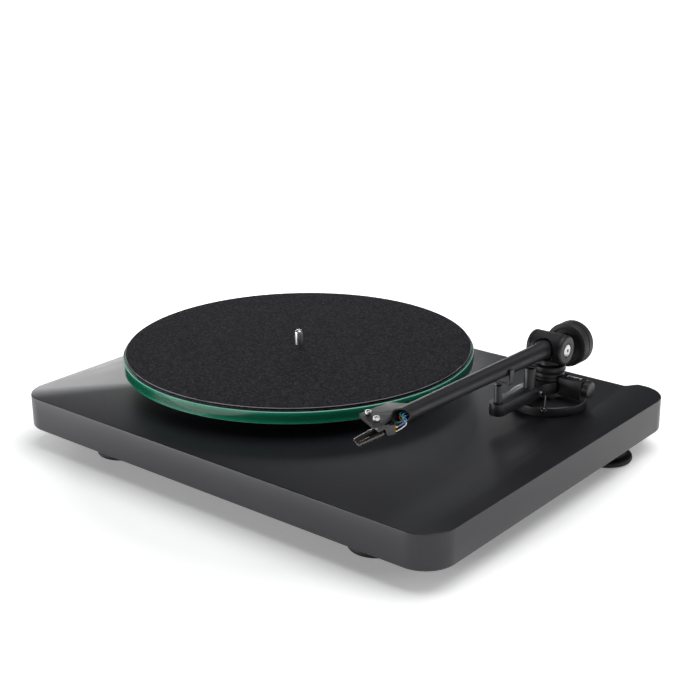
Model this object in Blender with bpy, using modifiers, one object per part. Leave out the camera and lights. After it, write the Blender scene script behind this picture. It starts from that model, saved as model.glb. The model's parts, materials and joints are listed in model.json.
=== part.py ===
"""Belt-driven turntable record player: plinth, glass platter, belt drive and tonearm.

Run it with: blender --background --python part.py, or from Blender's text editor.
Units are metres and +Z is up. The origin is on the surface that the feet stand on,
under the middle of the plinth. +X is the tonearm's side and +Y is the rear.
"""
import math

import bmesh
import bpy
from mathutils import Matrix, Vector

MM = 0.001

# ---------------------------------------------------------------- fits and gaps
TOUCH_GAP = 0.3 * MM            # left between two pieces that rest on each other
RUNNING_FIT = 0.3 * MM          # radial room of a shaft in its bearing or hole
SCREW_FIT = 0.3 * MM            # radial room of a screw in its hole

# ---------------------------------------------------------------- plinth and feet
PLINTH_WIDTH = 427 * MM
PLINTH_DEPTH = 333 * MM
PLINTH_THICKNESS = 28 * MM
PLINTH_CORNER = 25 * MM
PLINTH_TOP_EDGE = 1.0 * MM
PLINTH_BOTTOM_EDGE = 3.5 * MM
RECESS_DEPTH = 9.8 * MM         # shallow bay along the rear edge
RECESS_HALF_WIDTH = 174 * MM
RECESS_BLEND = 10 * MM          # width of the curve from the bay to the rear ear
FOOT_HEIGHT = 18 * MM
FOOT_RADIUS = 21.5 * MM
FOOT_NECK_RADIUS = 15.5 * MM
FOOT_PLACES = {
    "foot_front_left": (-134 * MM, -125 * MM),
    "foot_front_right": (134 * MM, -125 * MM),
    "foot_rear_left": (-187 * MM, 108 * MM),
    "foot_rear_right": (187 * MM, 108 * MM),
}

PLINTH_BOTTOM = FOOT_HEIGHT
PLINTH_TOP = PLINTH_BOTTOM + PLINTH_THICKNESS
PLINTH_MIDDLE = PLINTH_BOTTOM + PLINTH_THICKNESS / 2
RECESS_FACE = PLINTH_DEPTH / 2 - RECESS_DEPTH

# ---------------------------------------------------------------- platter and its bearing
SPINDLE_PLACE = (-62.5 * MM, 16.5 * MM)
GLASS_RADIUS = 149.5 * MM
GLASS_THICKNESS = 10 * MM
GLASS_ARRIS = 0.6 * MM
GLASS_HEIGHT = 12.5 * MM        # underside of the glass above the plinth
MAT_RADIUS = 147.5 * MM
MAT_THICKNESS = 2.3 * MM
SPINDLE_RADIUS = 3.6 * MM
SPINDLE_ABOVE_MAT = 12.6 * MM
SHAFT_RADIUS = 5.5 * MM         # main bearing shaft below the platter
SLEEVE_RADIUS = 9.1 * MM
SLEEVE_FLANGE_RADIUS = 15 * MM
SLEEVE_FLANGE = 1.6 * MM
SLEEVE_FLOOR = 1.4 * MM
SLEEVE_ABOVE_BOTTOM = 2.4 * MM  # lower end of the sleeve above the plinth's underside
BALL_RADIUS = 2.5 * MM
RIM_RADIUS = 50 * MM            # belt rim of the sub-platter, over its lips
BELT_GROOVE = 1 * MM
HUB_RADIUS = 14 * MM

GLASS_BOTTOM = PLINTH_TOP + GLASS_HEIGHT
GLASS_TOP = GLASS_BOTTOM + GLASS_THICKNESS
MAT_BOTTOM = GLASS_TOP + TOUCH_GAP
MAT_TOP = MAT_BOTTOM + MAT_THICKNESS
SLEEVE_BOTTOM = PLINTH_BOTTOM + SLEEVE_ABOVE_BOTTOM
SLEEVE_BORE_FLOOR = SLEEVE_BOTTOM + SLEEVE_FLOOR
SLEEVE_TOP = PLINTH_TOP + TOUCH_GAP + SLEEVE_FLANGE
BALL_CENTRE = SLEEVE_BORE_FLOOR + TOUCH_GAP + BALL_RADIUS
SHAFT_BOTTOM = BALL_CENTRE + BALL_RADIUS + TOUCH_GAP
SUB_PLATTER_BOTTOM = SLEEVE_TOP + 0.7 * MM
SUB_PLATTER_TOP = GLASS_BOTTOM - TOUCH_GAP
BELT_HEIGHT = PLINTH_TOP + 6.6 * MM

# ---------------------------------------------------------------- motor, belt and board
MOTOR_OFFSET = (-67 * MM, 67 * MM)      # from the spindle
MOTOR_RADIUS = 21 * MM
MOTOR_WELL_ROOM = 3 * MM
MOTOR_LENGTH = 20.3 * MM
MOTOR_SHAFT_RADIUS = 1.5 * MM
SPEED_RATIO = 7.5                       # motor turns for one turn of the platter
SECOND_SPEED = 45 / (100 / 3)           # larger step of the pulley
BELT_RADIUS = 1.1 * MM                  # round belt, half its thickness
COVER_SIZE = (142 * MM, 96 * MM)
COVER_PLACE = (-91 * MM, 100 * MM)
COVER_THICKNESS = 1.9 * MM
COVER_CORNER = 8 * MM
COVER_SCREW_INSET = 8 * MM
BOARD_SIZE = (62 * MM, 40 * MM, 1.6 * MM)
BOARD_PLACE = (-62 * MM, 118 * MM)
BOARD_POST_HEIGHT = 6.5 * MM
CAPACITOR_RADIUS = 6 * MM
CAPACITOR_LENGTH = 21 * MM

MOTOR_PLACE = (SPINDLE_PLACE[0] + MOTOR_OFFSET[0], SPINDLE_PLACE[1] + MOTOR_OFFSET[1])
GROOVE_RADIUS = RIM_RADIUS - BELT_GROOVE
PULLEY_RADIUS = GROOVE_RADIUS / SPEED_RATIO
COVER_BOTTOM = PLINTH_BOTTOM + TOUCH_GAP
COVER_TOP = COVER_BOTTOM + COVER_THICKNESS
MOTOR_BOTTOM = COVER_TOP + TOUCH_GAP
MOTOR_TOP = MOTOR_BOTTOM + MOTOR_LENGTH
BOARD_BOTTOM = COVER_TOP + BOARD_POST_HEIGHT + TOUCH_GAP

# ---------------------------------------------------------------- switch and rear sockets
SWITCH_PLACE = (-180 * MM, -120 * MM)
SWITCH_OPENING = (17.6 * MM, 10.6 * MM)
SWITCH_WALL = 2.6 * MM
SWITCH_BEZEL = 2.4 * MM         # the bezel's overhang round the housing
SWITCH_DEPTH = 15 * MM
ROCKER_ROOM = 0.6 * MM
ROCKER_OFF_ANGLE = math.radians(7)
TERMINAL_CENTRE = 122 * MM      # middle of the terminal plate along X
TERMINAL_SIZE = (52 * MM, 1.4 * MM, 16 * MM)
SOCKET_SPACING = 18 * MM
SOCKET_RADIUS = 4.15 * MM
SOCKET_LENGTH = 7.4 * MM
TERMINAL_SCREW_SPACING = 43 * MM
INLET_PLACE = -150 * MM

# ---------------------------------------------------------------- tonearm base
ARM_PLACE = (145.8 * MM, 83 * MM)
ARM_YAW = math.radians(-88.5)   # direction of the parked arm, from +X
ARM_TILT = math.radians(2.3)    # the parked arm rises towards its headshell
ARM_HEIGHT = 94.4 * MM          # where the two pivot axes cross
BRACKET_YAW = math.radians(-91.4)    # direction of the bracket's bar, from +X
BASE_RADIUS = 31 * MM
BASE_THICKNESS = 8 * MM
COLUMN_RADIUS = 11 * MM
STEM_RADIUS = 11.6 * MM
BEARING_TUBE_RADIUS = 6.7 * MM
BEARING_TUBE_WALL = 1.3 * MM
YAW_SHAFT_RADIUS = 3.1 * MM
RACE_HEIGHT = 5 * MM
BRACKET_BOTTOM = 59.5 * MM
BRACKET_TOP = 69 * MM
HUB_HALF_WIDTH = 11.7 * MM
BRACKET_HALF_WIDTH = 6.5 * MM
REST_DISTANCE = 71 * MM         # rest post from the yaw axis
REST_POST_RADIUS = 3.15 * MM
CLIP_SADDLE_TOP = 87.1 * MM
CLIP_LENGTH = 5 * MM
CLIP_INNER = 7.35 * MM          # faces of the hook's prong, out from the tube's axis
CLIP_OUTER = 8.8 * MM
CLIP_PRONG = 11.2 * MM          # height of the prong above the saddle
LIFT_DISTANCE = 28 * MM         # lift pillar from the yaw axis
LIFT_PILLAR_RADIUS = 4.8 * MM
LIFT_PLATFORM_TOP = 86.6 * MM
LIFT_PLATFORM_THICKNESS = 1.2 * MM
LIFT_PLATFORM_WIDTH = 3 * MM
LIFT_STEM_RADIUS = 1.3 * MM
LIFT_SWEEP = math.radians(58)   # the platform carries the arm over this sweep
LIFT_OVERRUN = math.radians(12)  # and runs on past the parked arm
CUE_AXIS = (24 * MM, 64 * MM)   # distance ahead of the yaw axis, and height
CUE_WIRE_RADIUS = 1.1 * MM
CUE_BALL_RADIUS = 2.9 * MM
CUE_BALL_PLACE = (9.5 * MM, 17.5 * MM, -9 * MM)     # from the lever's axis, across the bracket
CUE_BENDS = ((0, -2.5 * MM, 0), (0, 9 * MM, 0), (1.5 * MM, 13.5 * MM, -0.5 * MM),
             (4 * MM, 15 * MM, -3 * MM))
RING_RADIUS = 12.3 * MM
FLANGE_RADIUS = 13.2 * MM
FLANGE_THICKNESS = 5 * MM
BIAS_SIZE = (20.3 * MM, 11.5 * MM, 15 * MM)
BIAS_FRONT = -6.5 * MM          # the housing's front face, from the yaw axis
BIAS_BOTTOM = 58.4 * MM
BIAS_KNOB_RADIUS = 6.8 * MM
BIAS_KNOB_LENGTH = 6 * MM
BIAS_ROD_RADIUS = 1.6 * MM
BIAS_ROD_LENGTH = 15 * MM
NUT_RADIUS = 17 * MM
NUT_THICKNESS = 5 * MM
NUT_POCKET_DEPTH = 8 * MM

BASE_BOTTOM = PLINTH_TOP + TOUCH_GAP
BASE_TOP = BASE_BOTTOM + BASE_THICKNESS
COLUMN_TOP = BRACKET_BOTTOM - TOUCH_GAP
RING_BOTTOM = BRACKET_TOP + TOUCH_GAP
FLANGE_BOTTOM = 75.9 * MM
RING_TOP = FLANGE_BOTTOM - TOUCH_GAP
BEARING_BORE = BEARING_TUBE_RADIUS + TOUCH_GAP
STEM_BOTTOM = PLINTH_BOTTOM + 2 * MM

# ---------------------------------------------------------------- tonearm
BARREL_RADIUS = 12 * MM
BARREL_HALF_LENGTH = 15.6 * MM
ARM_HOLE_RADIUS = 9.4 * MM      # hole through the barrel for the tube
PIVOT_SCREW_RADIUS = 3.5 * MM
TUBE_PIVOT_RADIUS = 6.95 * MM
TUBE_HEAD_RADIUS = 5.6 * MM
TUBE_REAR = -14 * MM
TUBE_TAPER_END = 190 * MM
TUBE_END = 210 * MM
TUBE_BORE_RADIUS = 4.4 * MM
TUBE_BORE_START = 182 * MM
COLLAR_RADIUS = 7.8 * MM
COLLAR_PLACE = (9 * MM, 14 * MM)
MOUTH_PLACE = 203 * MM          # where the tube's oblique open end crosses its axis
MOUTH_ANGLE = math.radians(48)  # the open end's face against the axis
OFFSET_ANGLE = math.radians(28)  # headshell against the tube, towards the platter
HEAD_TOP = 3.5 * MM             # headshell's top above the tube's axis
HEAD_THICKNESS = 2.8 * MM
HEAD_CENTRE = (225.95 * MM, -7.1 * MM)  # midway between the cartridge screws
HEAD_OUTLINE = (                # corners along and across the tube, seen from above
    (188 * MM, 0 * MM), (188 * MM, -5 * MM), (194 * MM, -16.5 * MM), (225.5 * MM, -18.7 * MM),
    (236 * MM, 0.2 * MM), (227 * MM, 3.6 * MM), (217 * MM, 1.2 * MM), (207 * MM, -3.4 * MM),
    (200 * MM, -1 * MM),
)
CARTRIDGE_SCREW_SPACING = 12.7 * MM
CARTRIDGE_SCREW_RADIUS = 1.2 * MM
STUB_RADIUS = 5 * MM
STUB_REAR = -46 * MM
WEIGHT_RADIUS = 18 * MM
WEIGHT_FRONT = -25 * MM
WEIGHT_LENGTH = 15 * MM
WEIGHT_DROP = 4.75 * MM         # the weight hangs below the rod it slides on
WEIGHT_SCREW_RADIUS = 1.5 * MM
CARTRIDGE_HALF_WIDTH = 6 * MM
CARTRIDGE_REAR = -15 * MM
CARTRIDGE_FRONT = -2 * MM
CARTRIDGE_WING = (11.8 * MM, 16.4 * MM, 1.9 * MM)
CARTRIDGE_WING_FRONT = 2.8 * MM
CARTRIDGE_DEPTH = 9.2 * MM
STYLUS_START = (-7.5 * MM, -6.6 * MM)   # along the headshell and below the tube's axis
STYLUS_SLOPE = math.radians(19)
GUARD_SIZE = (21 * MM, 12 * MM, 5.4 * MM)
GUARD_WALL = 0.8 * MM
GUARD_EDGE = 1.8 * MM
GUARD_ROOM = 0.5 * MM
LEAD_RADIUS = 0.45 * MM
LEAD_BOW = (207 * MM, 6.3 * MM, -1.8 * MM)      # where the leads swing out past the tube

# ---------------------------------------------------------------- finishes
FINISHES = {
    "satin_lacquer": ("#1C1C1F", 0.38, 0.0),
    "rubber": ("#17171A", 0.75, 0.0),
    "black_plastic": ("#1B1B1E", 0.5, 0.0),
    "black_anodised": ("#232327", 0.42, 0.6),
    "steel": ("#C4C4C6", 0.22, 1.0),
    "brass": ("#B08D4A", 0.3, 1.0),
    "glass": ("#2E8C6C", 0.05, 0.0),
    "felt": ("#26252A", 0.95, 0.0),
    "belt_rubber": ("#141416", 0.7, 0.0),
    "circuit_board": ("#1F5A35", 0.5, 0.0),
    "smoky_plastic": ("#4A4642", 0.15, 0.0),
    "red_lead": ("#B3202C", 0.5, 0.0),
    "green_lead": ("#1E8A54", 0.5, 0.0),
    "blue_lead": ("#2C6FC0", 0.5, 0.0),
    "white_lead": ("#E4E2DC", 0.5, 0.0),
}


# ================================================================ helpers
def clear_scene():
    """Empty the file, so that the model starts from nothing."""
    for obj in list(bpy.data.objects):
        bpy.data.objects.remove(obj, do_unlink=True)


def new_collection(name):
    """A collection linked to the scene."""
    collection = bpy.data.collections.new(name)
    bpy.context.scene.collection.children.link(collection)
    return collection


def linear(channel):
    """One sRGB channel from 0 to 1, as linear light."""
    return channel / 12.92 if channel <= 0.04045 else ((channel + 0.055) / 1.055) ** 2.4


def make_material(node_name, finish):
    """A Principled material of the named finish, for one node."""
    colour, roughness, metallic = FINISHES[finish]
    rgb = [linear(int(colour[i:i + 2], 16) / 255) for i in (1, 3, 5)]
    material = bpy.data.materials.new(f"{node_name}_{finish}")
    material.use_nodes = True
    shader = material.node_tree.nodes["Principled BSDF"]
    shader.inputs["Base Color"].default_value = (*rgb, 1.0)
    shader.inputs["Roughness"].default_value = roughness
    shader.inputs["Metallic"].default_value = metallic
    return material


def link(obj, finish=None, parent=None):
    """Put an object in the model with its finish, or among the cutters without one."""
    if finish:
        PARTS.objects.link(obj)
        obj.data.materials.clear()
        obj.data.materials.append(make_material(obj.name, finish))
    else:
        CUTTERS.objects.link(obj)
        obj.hide_render = True
        obj.display_type = "WIRE"
    obj.parent = parent
    return obj


def axis_empty(name, place, rotation=(0, 0, 0), parent=None):
    """An empty on a joint's axis, or at a piece's own frame."""
    empty = bpy.data.objects.new(name, None)
    empty.location = place
    empty.rotation_euler = rotation
    empty.parent = parent
    PARTS.objects.link(empty)
    return empty


def mesh_object(name, bm):
    """An object from a bmesh, which is freed."""
    mesh = bpy.data.meshes.new(name)
    bm.to_mesh(mesh)
    bm.free()
    return bpy.data.objects.new(name, mesh)


def smooth(obj, angle=35):
    """Shade round faces smooth and keep the corners sharp."""
    obj.data.shade_smooth()
    obj.data.set_sharp_from_angle(angle=math.radians(angle))
    return obj


def arc(centre, radius, start, end, steps):
    """Points along an arc, both ends included, with the angles in degrees."""
    angles = [math.radians(start + (end - start) * i / steps) for i in range(steps + 1)]
    return [(centre[0] + radius * math.cos(a), centre[1] + radius * math.sin(a)) for a in angles]


def rounded_rectangle(size, corner, centre=(0, 0), steps=5):
    """The outline of a rectangle with round corners, anticlockwise."""
    half_x = size[0] / 2 - corner
    half_y = size[1] / 2 - corner
    points = []
    for sign_x, sign_y, start in ((1, -1, -90), (1, 1, 0), (-1, 1, 90), (-1, -1, 180)):
        middle = (centre[0] + sign_x * half_x, centre[1] + sign_y * half_y)
        points += arc(middle, corner, start, start + 90, steps)
    return points


def turned(name, profile, finish=None, parent=None, place=(0, 0, 0), rotation=(0, 0, 0),
           steps=32, closed=False):
    """A turned piece: a profile of (radius, height) swept round its own Z by a Screw."""
    mesh = bpy.data.meshes.new(name)
    count = len(profile)
    edges = [(i, (i + 1) % count) for i in range(count if closed else count - 1)]
    mesh.from_pydata([(radius, 0, height) for radius, height in profile], edges, [])
    obj = link_placed(bpy.data.objects.new(name, mesh), finish, parent, place, rotation)
    screw = obj.modifiers.new("Turn", "SCREW")
    screw.steps = screw.render_steps = steps
    screw.use_merge_vertices = True
    screw.merge_threshold = 0.00001
    screw.use_smooth_shade = True
    return obj


def link_placed(obj, finish, parent, place, rotation):
    """Link an object and set its place in its parent's frame."""
    obj.location = place
    obj.rotation_euler = rotation
    return link(obj, finish, parent)


def block(name, low, high, finish=None, parent=None, place=(0, 0, 0), rotation=(0, 0, 0)):
    """A box between two corners of its own frame."""
    bm = bmesh.new()
    bmesh.ops.create_cube(bm, size=1)
    low = Vector(low)
    high = Vector(high)
    scale = Matrix.Diagonal((*(high - low), 1))
    bmesh.ops.transform(bm, matrix=Matrix.Translation((low + high) / 2) @ scale, verts=bm.verts)
    return link_placed(mesh_object(name, bm), finish, parent, place, rotation)


def rod(name, radius, start, end, finish=None, parent=None, place=(0, 0, 0), rotation=(0, 0, 0),
        sides=24):
    """A cylinder along its own Z between two heights."""
    bm = bmesh.new()
    bmesh.ops.create_cone(bm, cap_ends=True, segments=sides, radius1=radius, radius2=radius,
                          depth=end - start)
    bmesh.ops.translate(bm, vec=(0, 0, (start + end) / 2), verts=bm.verts)
    return smooth(link_placed(mesh_object(name, bm), finish, parent, place, rotation))


def slab(name, outline, bottom, top, finish=None, parent=None, place=(0, 0, 0), rotation=(0, 0, 0),
         edges=()):
    """A flat outline given a thickness, with (height, width, segments) edges rounded."""
    curve = bpy.data.curves.new(name, "CURVE")
    curve.dimensions = "2D"
    curve.fill_mode = "BOTH"
    curve.extrude = (top - bottom) / 2
    spline = curve.splines.new("POLY")
    spline.points.add(len(outline) - 1)
    for point, (x, y) in zip(spline.points, outline):
        point.co = (x, y, 0, 1)
    spline.use_cyclic_u = True
    source = bpy.data.objects.new(name + "_outline", curve)
    bm = evaluated_bmesh(source)
    bmesh.ops.translate(bm, vec=(0, 0, (bottom + top) / 2), verts=bm.verts)
    bmesh.ops.dissolve_limit(bm, angle_limit=math.radians(0.5), verts=bm.verts, edges=bm.edges)
    bmesh.ops.recalc_face_normals(bm, faces=bm.faces)
    for height, width, segments in edges:
        rim = [e for e in bm.edges if all(abs(v.co.z - height) < 0.01 * MM for v in e.verts)]
        bmesh.ops.bevel(bm, geom=rim, offset=width, segments=segments, profile=0.5,
                        affect="EDGES", clamp_overlap=True)
    bpy.data.objects.remove(source)
    return smooth(link_placed(mesh_object(name, bm), finish, parent, place, rotation))


def evaluated_bmesh(source):
    """The evaluated mesh of an object with its loose caps welded, as a bmesh."""
    CUTTERS.objects.link(source)
    bpy.context.view_layer.update()
    graph = bpy.context.evaluated_depsgraph_get()
    mesh = bpy.data.meshes.new_from_object(source.evaluated_get(graph))
    bm = bmesh.new()
    bm.from_mesh(mesh)
    bpy.data.meshes.remove(mesh)
    bmesh.ops.remove_doubles(bm, verts=bm.verts, dist=0.005 * MM)
    return bm


def wire_curve(points, radius, resolution, cyclic=False):
    """A round wire as a curve object through its points, not yet linked."""
    curve = bpy.data.curves.new("wire", "CURVE")
    curve.dimensions = "3D"
    curve.bevel_depth = radius
    curve.bevel_resolution = resolution
    curve.use_fill_caps = not cyclic
    spline = curve.splines.new("POLY")
    spline.points.add(len(points) - 1)
    for point, place in zip(spline.points, points):
        point.co = (*place, 1)
    spline.use_cyclic_u = cyclic
    return bpy.data.objects.new("wire", curve)


def wire(name, points, radius, finish=None, parent=None, resolution=2, cyclic=False):
    """A round wire as a closed mesh, ready for a Boolean."""
    source = wire_curve(points, radius, resolution, cyclic)
    bm = evaluated_bmesh(source)
    bmesh.ops.recalc_face_normals(bm, faces=bm.faces)
    bpy.data.objects.remove(source)
    return smooth(link_placed(mesh_object(name, bm), finish, parent, (0, 0, 0), (0, 0, 0)), 60)


def rounded_path(corners, steps=5):
    """A smooth path through a few points, as a Catmull-Rom curve."""
    points = [Vector(c) for c in corners]
    points = [2 * points[0] - points[1]] + points + [2 * points[-1] - points[-2]]
    path = []
    for a, b, c, d in zip(points, points[1:], points[2:], points[3:]):
        for i in range(steps):
            t = i / steps
            path.append(0.5 * ((2 * b) + (c - a) * t + (2 * a - 5 * b + 4 * c - d) * t * t
                               + (3 * b - a - 3 * c + d) * t ** 3))
    path.append(points[-2])
    return path


def combine(target, tool, operation):
    """A Boolean of a piece with a cutter or a helper."""
    modifier = target.modifiers.new(operation.title(), "BOOLEAN")
    modifier.operation = operation
    modifier.solver = "EXACT"
    modifier.object = tool
    return target


def cut(target, *tools):
    """Take cutters away from a piece."""
    for tool in tools:
        combine(target, tool, "DIFFERENCE")
    return target


def join(target, *tools):
    """Add helper solids to a piece."""
    for tool in tools:
        combine(target, tool, "UNION")
    return target


def soften(target, width, segments=2):
    """Round a piece's sharp edges."""
    bevel = target.modifiers.new("Edges", "BEVEL")
    bevel.width = width
    bevel.segments = segments
    bevel.limit_method = "ANGLE"
    bevel.angle_limit = math.radians(40)
    return target


# ================================================================ plinth
def plinth_outline():
    """The plinth from above: round corners and a shallow bay along the rear edge."""
    half_x = PLINTH_WIDTH / 2
    half_y = PLINTH_DEPTH / 2
    corner = PLINTH_CORNER
    points = arc((-half_x + corner, -half_y + corner), corner, 180, 270, 7)
    points += arc((half_x - corner, -half_y + corner), corner, 270, 360, 7)
    rear_right = arc((half_x - corner, half_y - corner), corner, 0, 90, 7)
    steps = 6
    for i in range(1, steps + 1):
        share = i / steps
        drop = RECESS_DEPTH * (1 - math.cos(math.pi * share)) / 2
        rear_right.append((RECESS_HALF_WIDTH + RECESS_BLEND * (1 - share), half_y - drop))
    rear_left = [(-x, y) for x, y in reversed(rear_right)]
    return points + rear_right + rear_left


def cover_screw_places():
    """Where the screws of the bottom cover go."""
    half_x = COVER_SIZE[0] / 2 - COVER_SCREW_INSET
    half_y = COVER_SIZE[1] / 2 - COVER_SCREW_INSET
    x, y = COVER_PLACE
    return [(x + sx * half_x, y + sy * half_y) for sx in (-1, 1) for sy in (-1, 1)]


def make_plinth():
    """The lacquered board, with the wells and holes that the works sit in."""
    plinth = slab("plinth", plinth_outline(), PLINTH_BOTTOM, PLINTH_TOP, "satin_lacquer",
                  edges=((PLINTH_TOP, PLINTH_TOP_EDGE, 2), (PLINTH_BOTTOM, PLINTH_BOTTOM_EDGE, 3)))
    below = PLINTH_BOTTOM - 5 * MM
    above = PLINTH_TOP + 5 * MM
    cut(plinth, rod("cut_bearing", SLEEVE_RADIUS + TOUCH_GAP, below, above,
                    place=(*SPINDLE_PLACE, 0)))
    cut(plinth, rod("cut_stem", STEM_RADIUS + TOUCH_GAP, below, above, place=(*ARM_PLACE, 0)))
    cut(plinth, rod("cut_nut_pocket", NUT_RADIUS + 2 * MM, below,
                    PLINTH_BOTTOM + NUT_POCKET_DEPTH, place=(*ARM_PLACE, 0)))
    cut(plinth, rod("cut_motor_well", MOTOR_RADIUS + MOTOR_WELL_ROOM, below,
                    MOTOR_TOP + 1 * MM, place=(*MOTOR_PLACE, 0)))
    cut(plinth, rod("cut_pulley_hole", PULLEY_RADIUS * SECOND_SPEED + 1.5 * MM, below, above,
                    place=(*MOTOR_PLACE, 0)))
    recess = [COVER_SIZE[i] + 2 * TOUCH_GAP for i in (0, 1)]
    cut(plinth, slab("cut_cover_recess", rounded_rectangle(recess, COVER_CORNER, COVER_PLACE),
                     below, COVER_TOP + TOUCH_GAP))
    well = [BOARD_SIZE[i] + 4 * MM for i in (0, 1)]
    cut(plinth, slab("cut_board_well", rounded_rectangle(well, 4 * MM, BOARD_PLACE), below,
                     BOARD_BOTTOM + 15 * MM))
    for i, (x, y) in enumerate(cover_screw_places()):
        cut(plinth, rod(f"cut_cover_pilot_{i}", 1.4 * MM + SCREW_FIT, below,
                        PLINTH_BOTTOM + 12 * MM, place=(x, y, 0), sides=12))
    half_x = SWITCH_OPENING[0] / 2 + SWITCH_WALL + TOUCH_GAP
    half_y = SWITCH_OPENING[1] / 2 + SWITCH_WALL + TOUCH_GAP
    cut(plinth, block("cut_switch_well", (-half_x, -half_y, below),
                      (half_x, half_y, PLINTH_BOTTOM + SWITCH_DEPTH + 2 * MM),
                      place=(*SWITCH_PLACE, 0)))
    rear = (math.radians(-90), 0, 0)
    for i, side in enumerate((-1, 1)):
        socket_x = TERMINAL_CENTRE + side * SOCKET_SPACING / 2
        screw_x = TERMINAL_CENTRE + side * TERMINAL_SCREW_SPACING / 2
        cut(plinth, rod(f"cut_socket_{i}", 4.6 * MM, -16 * MM, 5 * MM, rotation=rear,
                        place=(socket_x, RECESS_FACE, PLINTH_MIDDLE)))
        cut(plinth, rod(f"cut_terminal_pilot_{i}", 1.2 * MM + SCREW_FIT, -9 * MM, 5 * MM,
                        rotation=rear, place=(screw_x, RECESS_FACE, PLINTH_MIDDLE), sides=12))
    cut(plinth, rod("cut_inlet", 5 * MM, -18 * MM, 5 * MM, rotation=rear,
                    place=(INLET_PLACE, RECESS_FACE, PLINTH_MIDDLE)))
    return plinth


def make_feet():
    """Four rubber feet with a wide sole."""
    top = FOOT_HEIGHT - TOUCH_GAP
    neck = FOOT_NECK_RADIUS
    wide = FOOT_RADIUS
    profile = [(0, top), (neck - 2 * MM, top), (neck - 1 * MM, top - 1 * MM), (neck, 7 * MM),
               (neck + 0.8 * MM, 6 * MM), (wide - 1 * MM, 5.4 * MM), (wide, 4.4 * MM),
               (wide, 1.2 * MM), (wide - 1 * MM, 0), (6 * MM, 0), (5.5 * MM, 5 * MM), (0, 5 * MM)]
    for name, place in FOOT_PLACES.items():
        turned(name, profile, "rubber", place=(*place, 0), steps=24)


# ================================================================ platter
def make_bearing():
    """The main bearing: a flanged sleeve, its thrust ball and the spindle that turns in it."""
    bore = SHAFT_RADIUS + RUNNING_FIT
    flange_bottom = PLINTH_TOP + TOUCH_GAP
    turned("bearing_sleeve", [
        (0, SLEEVE_BORE_FLOOR), (bore, SLEEVE_BORE_FLOOR), (bore, SLEEVE_TOP),
        (SLEEVE_FLANGE_RADIUS, SLEEVE_TOP), (SLEEVE_FLANGE_RADIUS, flange_bottom),
        (SLEEVE_RADIUS, flange_bottom), (SLEEVE_RADIUS, SLEEVE_BOTTOM), (0, SLEEVE_BOTTOM)],
        "brass", place=(*SPINDLE_PLACE, 0))
    bm = bmesh.new()
    bmesh.ops.create_uvsphere(bm, u_segments=16, v_segments=10, radius=BALL_RADIUS)
    ball = mesh_object("bearing_ball", bm)
    smooth(link_placed(ball, "steel", None, (*SPINDLE_PLACE, BALL_CENTRE), (0, 0, 0)), 80)


def make_platter():
    """What turns with the record: spindle, sub-platter, glass disc and felt mat."""
    axis = axis_empty("platter_axis", (*SPINDLE_PLACE, 0))
    tip = MAT_TOP + SPINDLE_ABOVE_MAT
    turned("platter_spindle", [
        (0, tip), (1.6 * MM, tip), (3.3 * MM, tip - 1.3 * MM), (SPINDLE_RADIUS, tip - 2.4 * MM),
        (SPINDLE_RADIUS, SUB_PLATTER_TOP), (SHAFT_RADIUS, SUB_PLATTER_TOP - 0.8 * MM),
        (SHAFT_RADIUS, SHAFT_BOTTOM + 1 * MM), (SHAFT_RADIUS - 1 * MM, SHAFT_BOTTOM),
        (0, SHAFT_BOTTOM)], "steel", axis)
    bore = SHAFT_RADIUS + RUNNING_FIT
    lip = 0.7 * MM
    groove = BELT_RADIUS + 0.3 * MM
    rim_inner = RIM_RADIUS - 6 * MM
    web_top = SUB_PLATTER_TOP - 2.4 * MM
    web_bottom = web_top - 2.6 * MM
    turned("sub_platter", [
        (rim_inner, SUB_PLATTER_TOP), (RIM_RADIUS, SUB_PLATTER_TOP),
        (RIM_RADIUS, BELT_HEIGHT + groove + lip), (GROOVE_RADIUS, BELT_HEIGHT + groove),
        (GROOVE_RADIUS, BELT_HEIGHT - groove), (RIM_RADIUS, BELT_HEIGHT - groove - lip),
        (RIM_RADIUS, SUB_PLATTER_BOTTOM), (rim_inner, SUB_PLATTER_BOTTOM),
        (rim_inner - 1 * MM, web_bottom), (HUB_RADIUS + 1 * MM, web_bottom),
        (HUB_RADIUS, SUB_PLATTER_BOTTOM), (bore, SUB_PLATTER_BOTTOM),
        (bore, SUB_PLATTER_TOP - 0.6 * MM), (HUB_RADIUS, SUB_PLATTER_TOP - 0.6 * MM),
        (HUB_RADIUS + 1 * MM, web_top), (rim_inner - 1 * MM, web_top)],
        "black_plastic", axis, steps=40, closed=True)
    hole = SPINDLE_RADIUS + RUNNING_FIT
    turned("glass_platter", [
        (GLASS_RADIUS - GLASS_ARRIS, GLASS_TOP), (GLASS_RADIUS, GLASS_TOP - GLASS_ARRIS),
        (GLASS_RADIUS, GLASS_BOTTOM + GLASS_ARRIS), (GLASS_RADIUS - GLASS_ARRIS, GLASS_BOTTOM),
        (hole, GLASS_BOTTOM), (hole, GLASS_TOP)], "glass", axis, steps=72, closed=True)
    turned("felt_mat", [
        (MAT_RADIUS, MAT_TOP), (MAT_RADIUS, MAT_BOTTOM), (hole, MAT_BOTTOM), (hole, MAT_TOP)],
        "felt", axis, steps=72, closed=True)


# ================================================================ drive
def belt_path(big, small, offset):
    """Round two pulleys: (centre, radius) each, with the belt's middle this far outside."""
    reach = Vector(small[0]) - Vector(big[0])
    heading = math.atan2(reach.y, reach.x)
    radius_big = big[1] + offset
    radius_small = small[1] + offset
    lean = math.acos((radius_big - radius_small) / reach.length)
    start = math.degrees(heading + lean)
    sweep = 360 - 2 * math.degrees(lean)
    points = arc(big[0], radius_big, start, start + sweep, 32)
    points += arc(small[0], radius_small, start + sweep, start + 360, 8)
    return [(x, y, BELT_HEIGHT) for x, y in points]


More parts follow.
